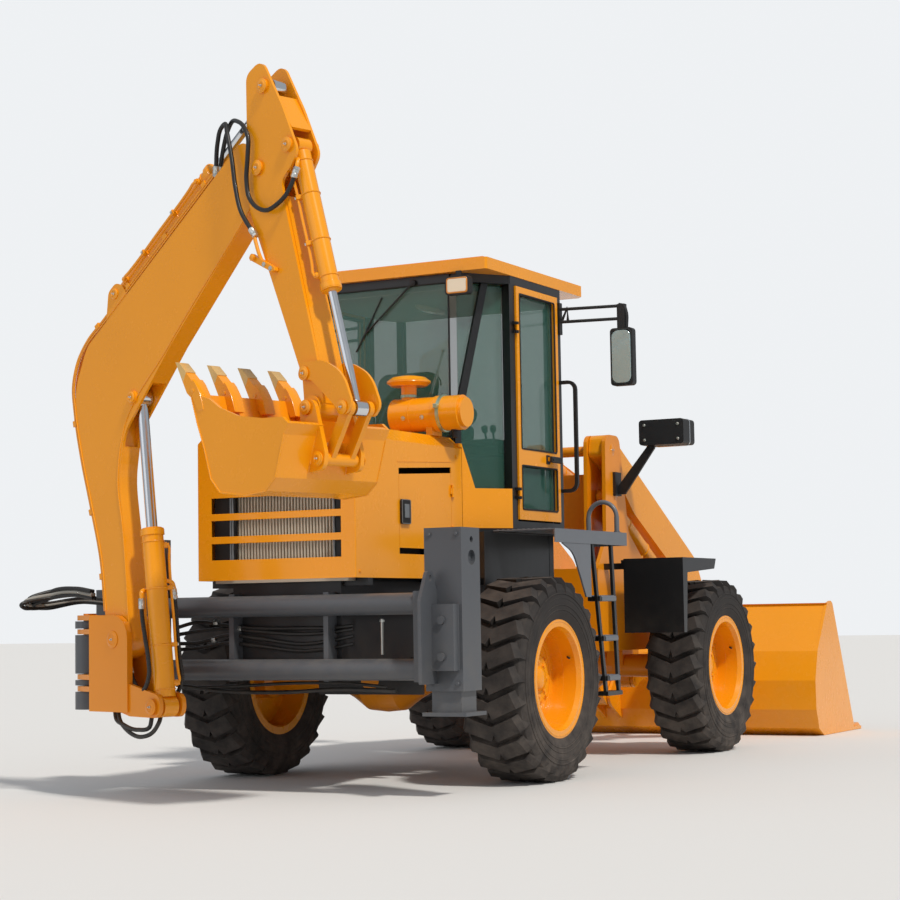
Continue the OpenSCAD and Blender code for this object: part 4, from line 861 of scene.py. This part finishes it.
# %% Grille and hood trim
# Near-black sheets in the gaps beside the fins: painted shade.
piece("fan_shrouds", shade_black, *[block((left, -1202, 1204), (right, -1176, 1846), 2, 3, 2)
                               for left, right in ((-416, -278), (352, 416))])
piece("fin_rails", paddle, *[tube(at([(x, -1206, 1206), (x, -1206, 1844)]), 0.006, 8)
                             for x in (-306, -292, 362)])
piece("grille_bars", yellow, *[tube(at([(-420, -1227, z), (420, -1227, z)]), 0.0035, 8)
                               for z in (1275, 1372, 1405, 1500, 1532, 1625)])
on_both("hood_folds", yellow, tube(at([(506, -1226, 1168), (506, -1226, 1926)]), 0.0035, 8),
        tube(at([(507, -765, 1812), (507, -118, 1846)]), 0.002, 6))
piece("hood_bolts", yellow, *[hex_heads(at([(s * 506.5, y, z) for y in (-1180, -60) for z in (1200, 1880)]),
                                        (s, 0, 0), 14, 6) for s in (-1, 1)])
print("hood trim ready")

# %% [markdown]
# ## Wheels
# Each rim carries twelve studs with nuts, a ring of hub bolts and a domed cap. A lock ring seats the tyre, whose
# side walls have raised ribs. All four wheels are alike, so one is made and placed four times.

# %% Wheel trim
HUB_HEIGHT, MID_TREAD, WHEELBASE = 585, 943, 2686
wheels = {"wheel_rr": (1, 0), "wheel_rl": (-1, 0), "wheel_fr": (1, WHEELBASE), "wheel_fl": (-1, WHEELBASE)}


def bolt_ring(side, y, x, radius, count):
    """Places on a circle round the wheel's axle: y and z are the hub's plus radius times cosine and sine."""
    a = np.arange(count) * 2 * np.pi / count
    return at(np.stack([np.full(count, side * x), y + radius * np.cos(a), HUB_HEIGHT + radius * np.sin(a)], -1))


for body, (s, y) in wheels.items():
    outside = (s, 0, 0)
    piece("rim_nuts_" + body, yellow, hex_heads(bolt_ring(s, y, 944, 190, 12), outside, 30, 16),
          hex_heads(bolt_ring(s, y, 984, 100, 8), outside, 22, 11),
          collar(at((s * 983, y, HUB_HEIGHT)), outside, [(0, 70), (10, 70), (24, 60), (32, 40), (34, 0.5)], 40),
          *[circle(at((s * x, y, HUB_HEIGHT)), outside, r, w)
            for x, r, w in ((1119, 326, 5), (1092, 297, 4), (1010, 288, 4), (945, 240, 3))], body=body)
    piece("tyre_ribs_" + body, tyre_rubber,
          *[circle(at((s * (MID_TREAD + k * x), y, HUB_HEIGHT)), outside, r, w) for k in (-1, 1)
            for x, r, w in ((196, 392, 4), (198.5, 420, 3), (198, 458, 3), (196.5, 484, 4))], body=body)
    piece("valve_" + body, plastic, tube(at([(s * x, y + out, HUB_HEIGHT + up) for x, out, up in
                                             ((1050, 261, 117), (1058, 252, 113), (1070, 246, 110))]), 0.006, 8),
          body=body)
print("wheels trimmed:", len(wheels))

# %% [markdown]
# ## Seat
# The seat's three plain solids give way to a moulded pedestal and two stuffed pads. Each pad starts as a rounded
# shell a little smaller than its solid. It is remeshed evenly and blown up by a cloth simulation, and a point may
# move 12 mm at most, so it crowns in its middle and stays drawn in along its edges. Piping follows after that.

# %% Padded cushions
seat_vinyl = finish_of("seat_vinyl", "#1b1b1d", "cushion", gloss=0.5, drift=0.1, dust=0.04, low=0.0, grain=240,
                       bump=0.35)
# The remesh's cell and a point's longest way, in metres, then the cloth's pressure and how many frames it runs.
CELL, MOST, PRESSURE, STEPS = 0.006, 0.012, 4, 20
LEAN = math.radians(10)


def pad(name, shell):
    """A stuffed pad: an even remesh of the shell, swollen by cloth pressure with each point's way capped."""
    out = piece(name, seat_vinyl, shell, smooth=0)
    bpy.context.view_layer.objects.active = out
    remesh = out.modifiers.new("remesh", "REMESH")
    remesh.mode, remesh.voxel_size = "VOXEL", CELL
    bpy.ops.object.modifier_apply(modifier="remesh")
    start = np.empty(len(out.data.vertices) * 3)
    out.data.vertices.foreach_get("co", start)
    cloth = out.modifiers.new("cloth", "CLOTH")
    cloth.settings.use_pressure = True
    cloth.settings.uniform_pressure_force = PRESSURE
    cloth.settings.effector_weights.gravity = 0
    cloth.point_cache.frame_start, cloth.point_cache.frame_end = 1, STEPS
    for step in range(1, STEPS + 1):
        scene.frame_set(step)
    swollen = out.evaluated_get(bpy.context.evaluated_depsgraph_get()).to_mesh()
    end = np.empty(len(start))
    swollen.vertices.foreach_get("co", end)
    out.modifiers.remove(cloth)
    way = (end - start).reshape(-1, 3)
    size = np.maximum(np.linalg.norm(way, axis=1, keepdims=True), 1e-9)
    out.data.vertices.foreach_set("co", (start.reshape(-1, 3) + way * np.minimum(1, MOST / size)).ravel())
    out.data.update()
    scene.frame_set(1)
    out.data.shade_smooth()
    finer = out.modifiers.new("finer", "SUBSURF")
    finer.levels = finer.render_levels = 1
    return out


def back_at(points):
    """Millimetres on the leaning back rest: across, along the cushion's depth, and up the rest."""
    p = np.asarray(points, float)
    c, s = math.cos(LEAN), math.sin(LEAN)
    return at(np.stack([p[..., 0], 250 + p[..., 1] * c + p[..., 2] * s, 1850 - p[..., 1] * s + p[..., 2] * c], -1))


seat_parts = [pad("seat_cushion", block((-226, 234, 1774), (226, 676, 1858), 2, 70, 24)),
              pad("seat_back", block((-216, -88, 24), (216, -12, 600), 1, 80, 20, place=back_at)),
              piece("seat_base", plastic, block((-178, 252, 1511), (178, 598, 1560), 2, 20, 6),
                    block((-140, 290, 1555), (140, 560, 1730), 2, 30, 8),
                    block((-200, 240, 1728), (200, 640, 1768), 2, 40, 6),
                    block((-60, 225, 1740), (60, 262, 1900), 2, 10, 4))]
for part in seat_parts:
    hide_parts("seat_unit")
back_edge = [(x, -10, z + 312) for x, z in rounded_ring(206, 276, 76, 8)]
piece("seat_piping", seat_vinyl, loop((0, 455, 1862), (214, 209), 66, 2, 5, n=8),
      tube(back_at(back_edge), 0.005, 8))
print("seat dressed")

# %% [markdown]
# ## Cylinders and pins
# A cylinder ends in a gland nut, and its two ports are joined by a hard pipe in clips along the barrel. Every
# pin shows a cap with a grease nipple and a small keeper plate, on both sides of the arm.

# %% Cylinders
def body_paint(body):
    """The swing post and the front frame wear the frame's deeper yellow."""
    return deep_yellow if body in ("post", "front_body") else yellow


def on_line(a, b, place):
    """A place by (way along a to b, way out from that line, way across): place takes the two in the line's plane
    and the third across it."""
    a, b = np.array(a, float), np.array(b, float)
    d = unit(b - a)
    n = np.array([-d[1], d[0]])
    return lambda p: place(np.stack([a[0] + p[..., 0] * d[0] + p[..., 1] * n[0],
                                     a[1] + p[..., 0] * d[1] + p[..., 1] * n[1], p[..., 2]], -1))


LOW_PORT, HIGH_PORT = 118, 92


def dress_cylinder(body, put, r, length, rod, way):
    """Gland, ports, pipe and clips of one cylinder, in millimetres: put takes (along, out, across), r and rod are
    the barrel's and the rod's radius, and way is the pipe's side. The ports stand that far from the two ends."""
    def here(s, o, w=0.0):
        return put(np.array([s, o * way[0] - w * way[1], o * way[1] + w * way[0]], float))

    ahead = here(1000, 0) - here(0, 0)
    out = here(0, 1000) - here(0, 0)
    across = here(0, 0, 1000) - here(0, 0, 0)
    shells = [collar(here(length - 36, 0), ahead, [(0, r + 4), (2, r + 7), (30, r + 7), (32, r + 4)], 32),
              collar(here(length - 1, 0), ahead, [(0, r - 4), (6, r - 4), (9, rod + 9), (10, rod + 5)], 32),
              circle(here(length - 70, 0), ahead, r + 1.5, 3, 48), circle(here(88, 0), ahead, r + 1.5, 3, 48)]
    for s in (LOW_PORT, length - HIGH_PORT):
        shells += [collar(here(s, r - 6), out, [(0, 17), (20, 17), (22, 15)]),
                   collar(here(s, r + 14), out, [(0, 13), (12, 13)], 6)]
    line = ((LOW_PORT, 20), (132, 25), (170, 22), (length / 2, 20), (length - 150, 22), (length - 106, 25),
            (length - HIGH_PORT, 20))
    shells.append(pipe([here(s, r + o) for s, o in line], 0.0075, 60, 10))
    ring = rounded_ring(14, 17, 5) / 1000
    for s in (length * 0.34, length * 0.66):
        shells += [lofted([here(s + d, r + 12) + ring[:, :1] * across + ring[:, 1:] * out for d in (-11, 11)]),
                   circle(here(s, 0), ahead, r + 1, 4, 48)]
        keep("cylinder_bolts_" + body, body, zinc, hex_heads(here(s, r + 29), out, 13, 7, False))
    keep("cylinder_trim_" + body, body, body_paint(body), *shells)


pins = {"f": (345, 855), "g": (680, 503), "h": (484, 2146), "e": (1570, 3210), "c": (320, 2725),
        "t": (1615, 3620), "b": (1800, 3290), "d1": (1926, 2137), "d2": (1975, 1965), "r": (2200, 1950),
        "l": (2060, 1712)}
dress_cylinder("boom_cyl", on_line(pins["g"], pins["h"], hoe_side), 57, 942, 30, (-0.6, 0.8))
dress_cylinder("dipper_cyl", on_line(pins["c"], pins["t"], hoe_side), 46, 975, 22, (0, -1))
dress_cylinder("bucket_cyl", on_line(pins["b"], pins["r"], hoe_side), 46, 780, 22, (-0.75, -0.66))
for body, ends, x, length, way in (("lift_cyl", ((2120, 1740), (3300, 1100)), -490, 1090, -1),
                                   ("lift_cyl", ((2120, 1740), (3300, 1100)), 490, 1090, -1),
                                   ("tilt_cyl", ((2080, 2050), (3800, 1560)), 0, 1180, 1)):
    dress_cylinder(body, on_line(*ends, lambda p: at(p[..., [2, 0, 1]] + [x, 0, 0])), 50, length, 28, (way, 0))

# %% Pin caps
WIDE_PIN = 89
hoe_pins = [("f", 98, 38, "post"), ("g", 99, 34, "post"), ("h", 70, 30, "hoe_boom"), ("c", 58, 30, "hoe_boom"),
            ("e", 89, 30, "hoe_dipper"), ("b", 89, 28, "hoe_dipper"), ("t", 89, 28, "hoe_dipper"),
            ("d1", 103, 26, "hoe_rocker"), ("r", 103, 26, "hoe_rocker"), ("d2", 138, 28, "digging_bucket"),
            ("l", 138, 28, "digging_bucket")]
for pin, off, rad, body in hoe_pins:
    u, z = pins[pin]
    for out in (-arm_side, arm_side):
        spot = hoe_at((u, 0, z)) + out * (off / 1000)
        keep("pin_caps_" + body, body, body_paint(body),
             collar(spot, out, [(0, rad), (5, rad), (8, rad - 4), (8.5, rad - 10), (6, rad - 12)], 32))
        keep("pin_nipples_" + body, body, zinc,
             collar(spot + out * 0.005, out, [(0, 7), (5, 7), (6, 4), (14, 4.5), (16, 2.5)], 6))
        if off >= WIDE_PIN:
            keep("pin_caps_" + body, body, body_paint(body),
                 collar(spot + out * 0.001, out, [(0, rad + 9), (3, rad + 9), (4, rad + 7)], 32))
for y, z, rad, edge, body in ((2080, 2050, 46, 557, "front_body"), (2120, 1740, 34, 557, "front_body"),
                              (4220, 300, 42, 572, "front_bucket")):
    for s in (-1, 1):
        keep("pin_caps_" + body, body, body_paint(body),
             collar(at((s * edge, y, z)), (s, 0, 0), [(0, rad), (10, rad), (14, rad - 6)], 32))
        keep("pin_nipples_" + body, body, zinc,
             collar(at((s * (edge + 13), y, z)), (s, 0, 0), [(0, 8), (6, 8), (7, 5), (16, 5)], 6))
print("cylinders and pins dressed")

# %% [markdown]
# ## Buckets and welds
# Teeth sit on adapters with a cross pin, and their tips are worn to bright metal. Weld beads follow the joints
# between plates: along the boom's edges, round the bucket's ears and down the dipper.

# %% Teeth
tooth_edge = [(1326, 2094), (1350, 2146), (1372, 2124), (1412, 2064), (1436, 1988), (1392, 1984), (1350, 2046)]
tip_edge = [(1209, 2244), (1238, 2239), (1296, 2187), (1272, 2140), (1254, 2168)]
for v in (-300, -100, 100, 300):
    keep("tooth_adapters", "digging_bucket", yellow, slab_shell(tooth_edge, v - 33, v + 33, hoe_side, 2.5))
    keep("tooth_pins", "digging_bucket", yellow,
         collar(hoe_at((1352, v - 36, 2088)), arm_side, [(0, 9), (1, 11), (71, 11), (72, 9)], 16))
    keep("tooth_tips", "digging_bucket", worn_steel, slab_shell(tip_edge, v - 31, v + 31, hoe_side, 1.5))

# %% Weld beads
shell_edge = [(1335, 2065), (1384, 1922), (1440, 1790), (1490, 1640), (1560, 1570), (1740, 1548), (1900, 1560),
              (1975, 1620), (2040, 1821)]
ear_edge = [(1984, 1646), (2034, 1818), (2056, 1866)]
boom_front = [(444, 870), (389, 1439), (345, 1709), (392, 1962), (800, 2394), (1432, 2976), (1602, 3142)]


def hoe_edge(edge, across):
    """An edge of (out, up) points in the arm's plane, at a distance across it."""
    return hoe_at([(u, across, z) for u, z in edge])


keep("bucket_welds", "digging_bucket", yellow,
     *[bead(hoe_edge(shell_edge, w), 0.0045, 0.014) for w in (-330, 330)],
     *[bead(hoe_edge(ear_edge, w), 0.005, 0.012) for w in (-131, -105, 105, 131)])
for w in (-59, 59):
    keep("boom_welds", "hoe_boom", yellow, bead(back_path(BEAD_OFF, w, 300)),
         bead(smooth_path(hoe_edge(boom_front, w), 260)))
keep("dipper_welds", "hoe_dipper", yellow,
     *[bead(hoe_edge([(1509, 2966), (1766, 3034)], w)) for w in (-63, 63)])
keep("post_welds", "post", deep_yellow, *[bead(hoe_edge([(165, 506), (474, 506)], w)) for w in (-62, 62)])
keep("frame_welds", "rear_body", grey_paint,
     *[bead(at([(x, y, 668), (x, y, 1014)])) for x, y in ((984, -1200), (1109, -1202))],
     bead(at([(960, -1276, 612), (960, -1276, 1084)]), 0.0045),
     *[circle(at((x, -1210, z)), RIGHTWARD, 60, 4.5) for z in (674, 1020) for x in (880, -1148)])
print("welds:", sum(len(shells) for name, (_, _, shells) in kept.items() if "weld" in name))

# %% [markdown]
# ## Steps, platforms and lines between the cross tubes
# The platforms carry round grip studs, the ladder's rungs grey treads; studs, treads and platforms are a lighter
# grey, painted light of their sunlit faces. Between the cross tubes run four dark hoses with bright unions, a
# filler cap and a clip rod.

# %% Studs and treads
DECK, FRONT_RAKE, REAR_RAKE = 1445, 0.083, 0.188
stud = turned([(0, -0.001), (0.009, -0.001), (0.0085, 0.002), (0.006, 0.0035), (0, 0.004)], 8)
spots = np.stack(np.meshgrid(np.arange(722, 1085, 33), np.arange(45, 1010, 66), [DECK], indexing="ij"), -1)
stud_moves = np.tile(np.eye(4), (spots.size // 3, 1, 1))
stud_moves[:, :3, 3] = at(spots).reshape(-1, 3)
on_both("platform_studs", step_grey_painted_light, copies(*stud, stud_moves))
treads = []
for z in (1040, 800, 560):
    drop = 1438.7 - z
    y0, y1 = 606 + drop * REAR_RAKE, 888 + drop * FRONT_RAKE
    treads += [block((996, y0 + 24, z - 16), (1084, y1 - 6, z + 17), 1, 8, 2),
               *[tube(at([(x, y0 + 30, z + 18), (x, y1 - 12, z + 18)]), 0.003, 6)
                 for x in (1010, 1030, 1050, 1070)]]
on_both("ladder_treads", step_grey_painted_light, *treads)
foot = [(0, 28), (5, 28), (7, 20), (14, 18)]
on_both("rail_feet", grey_paint, *[collar(at((x, 1036, DECK - 1)), UPWARD, foot, 24) for x in (855, 1045)])
# A tank's two seams are flat wires, one millimetre high.
cap = [(0, 40), (14, 40), (17, 36), (18, 0.5)]
on_both("tank_caps", plastic, collar(at((740, 800, 960)), RIGHTWARD, cap, 24),
        *[loop((742, 940, z), (220, 0.5), 0.4, 0, 4, n=1) for z in (620, 940)])
on_both("stab_bolts", grey_paint,
        hex_heads(at([(x, -1201, z) for x in (940, 1100) for z in (600, 1380)]), REARWARD, 19, 9))

# %% Lines between the cross tubes
lines = [pipe(at([(-720, -1168 + 6 * k, z0), (-560, -1160, z0 + 34 - sag), (-380, -1152, z1 + 20),
                  (-180, -1148, z1 + 4), (120, -1140 + 4 * k, z1 - sag), (300, -1132, z1 - sag * 0.4),
                  (430, -1126, z1 + 10)]), 0.0105, 90, side=(0, 1, 0))
         for k, (z0, z1, sag) in enumerate(((905, 898, 0), (868, 880, 14), (820, 842, 30), (786, 800, 26)))]
piece("frame_hoses", hose_rubber, *lines)
piece("frame_unions", zinc, *[collar(at((x, -1156, z)), (1, 0, 0.05), [(0, 15), (2, 16), (24, 16), (26, 14)], 6)
                              for x, z in ((-455, 936), (-330, 922), (-470, 838), (-300, 900))])
piece("filler_cap", cap_green,
      collar(at((289, -1122, 924)), REARWARD, [(0, 18), (8, 18), (9, 27), (20, 27), (23, 22)], 24))
piece("clip_rod", zinc, tube(at([(620, -1150, 752), (620, -1150, 942)]), 0.008, 10),
      collar(at((620, -1150, 925)), UPWARD, [(0, 14), (12, 14)], 6))
piece("axle_hoses", hose_rubber,
      pipe(at([(-700, -1175, 590), (-420, -1130, 556), (-60, -1100, 548), (330, -1120, 566), (700, -1150, 560)]),
           0.011, 80, side=(0, 1, 0)),
      pipe(at([(-650, -1165, 572), (-300, -1120, 584), (100, -1100, 600), (420, -1115, 596), (640, -1150, 580)]),
           0.009, 80, side=(0, 1, 0)))
print("lines ready")

# %% [markdown]
# ## Gathering the small parts
# Pipes, clamps, bolts and ferrules that sit on one body and share one finish are made as one piece, which keeps
# the list of pieces readable.

# %% Kept shells become pieces
for name, (body, look, shells) in kept.items():
    piece(name, look, *shells, body=body)
print("gathered:", len(kept), "pieces")
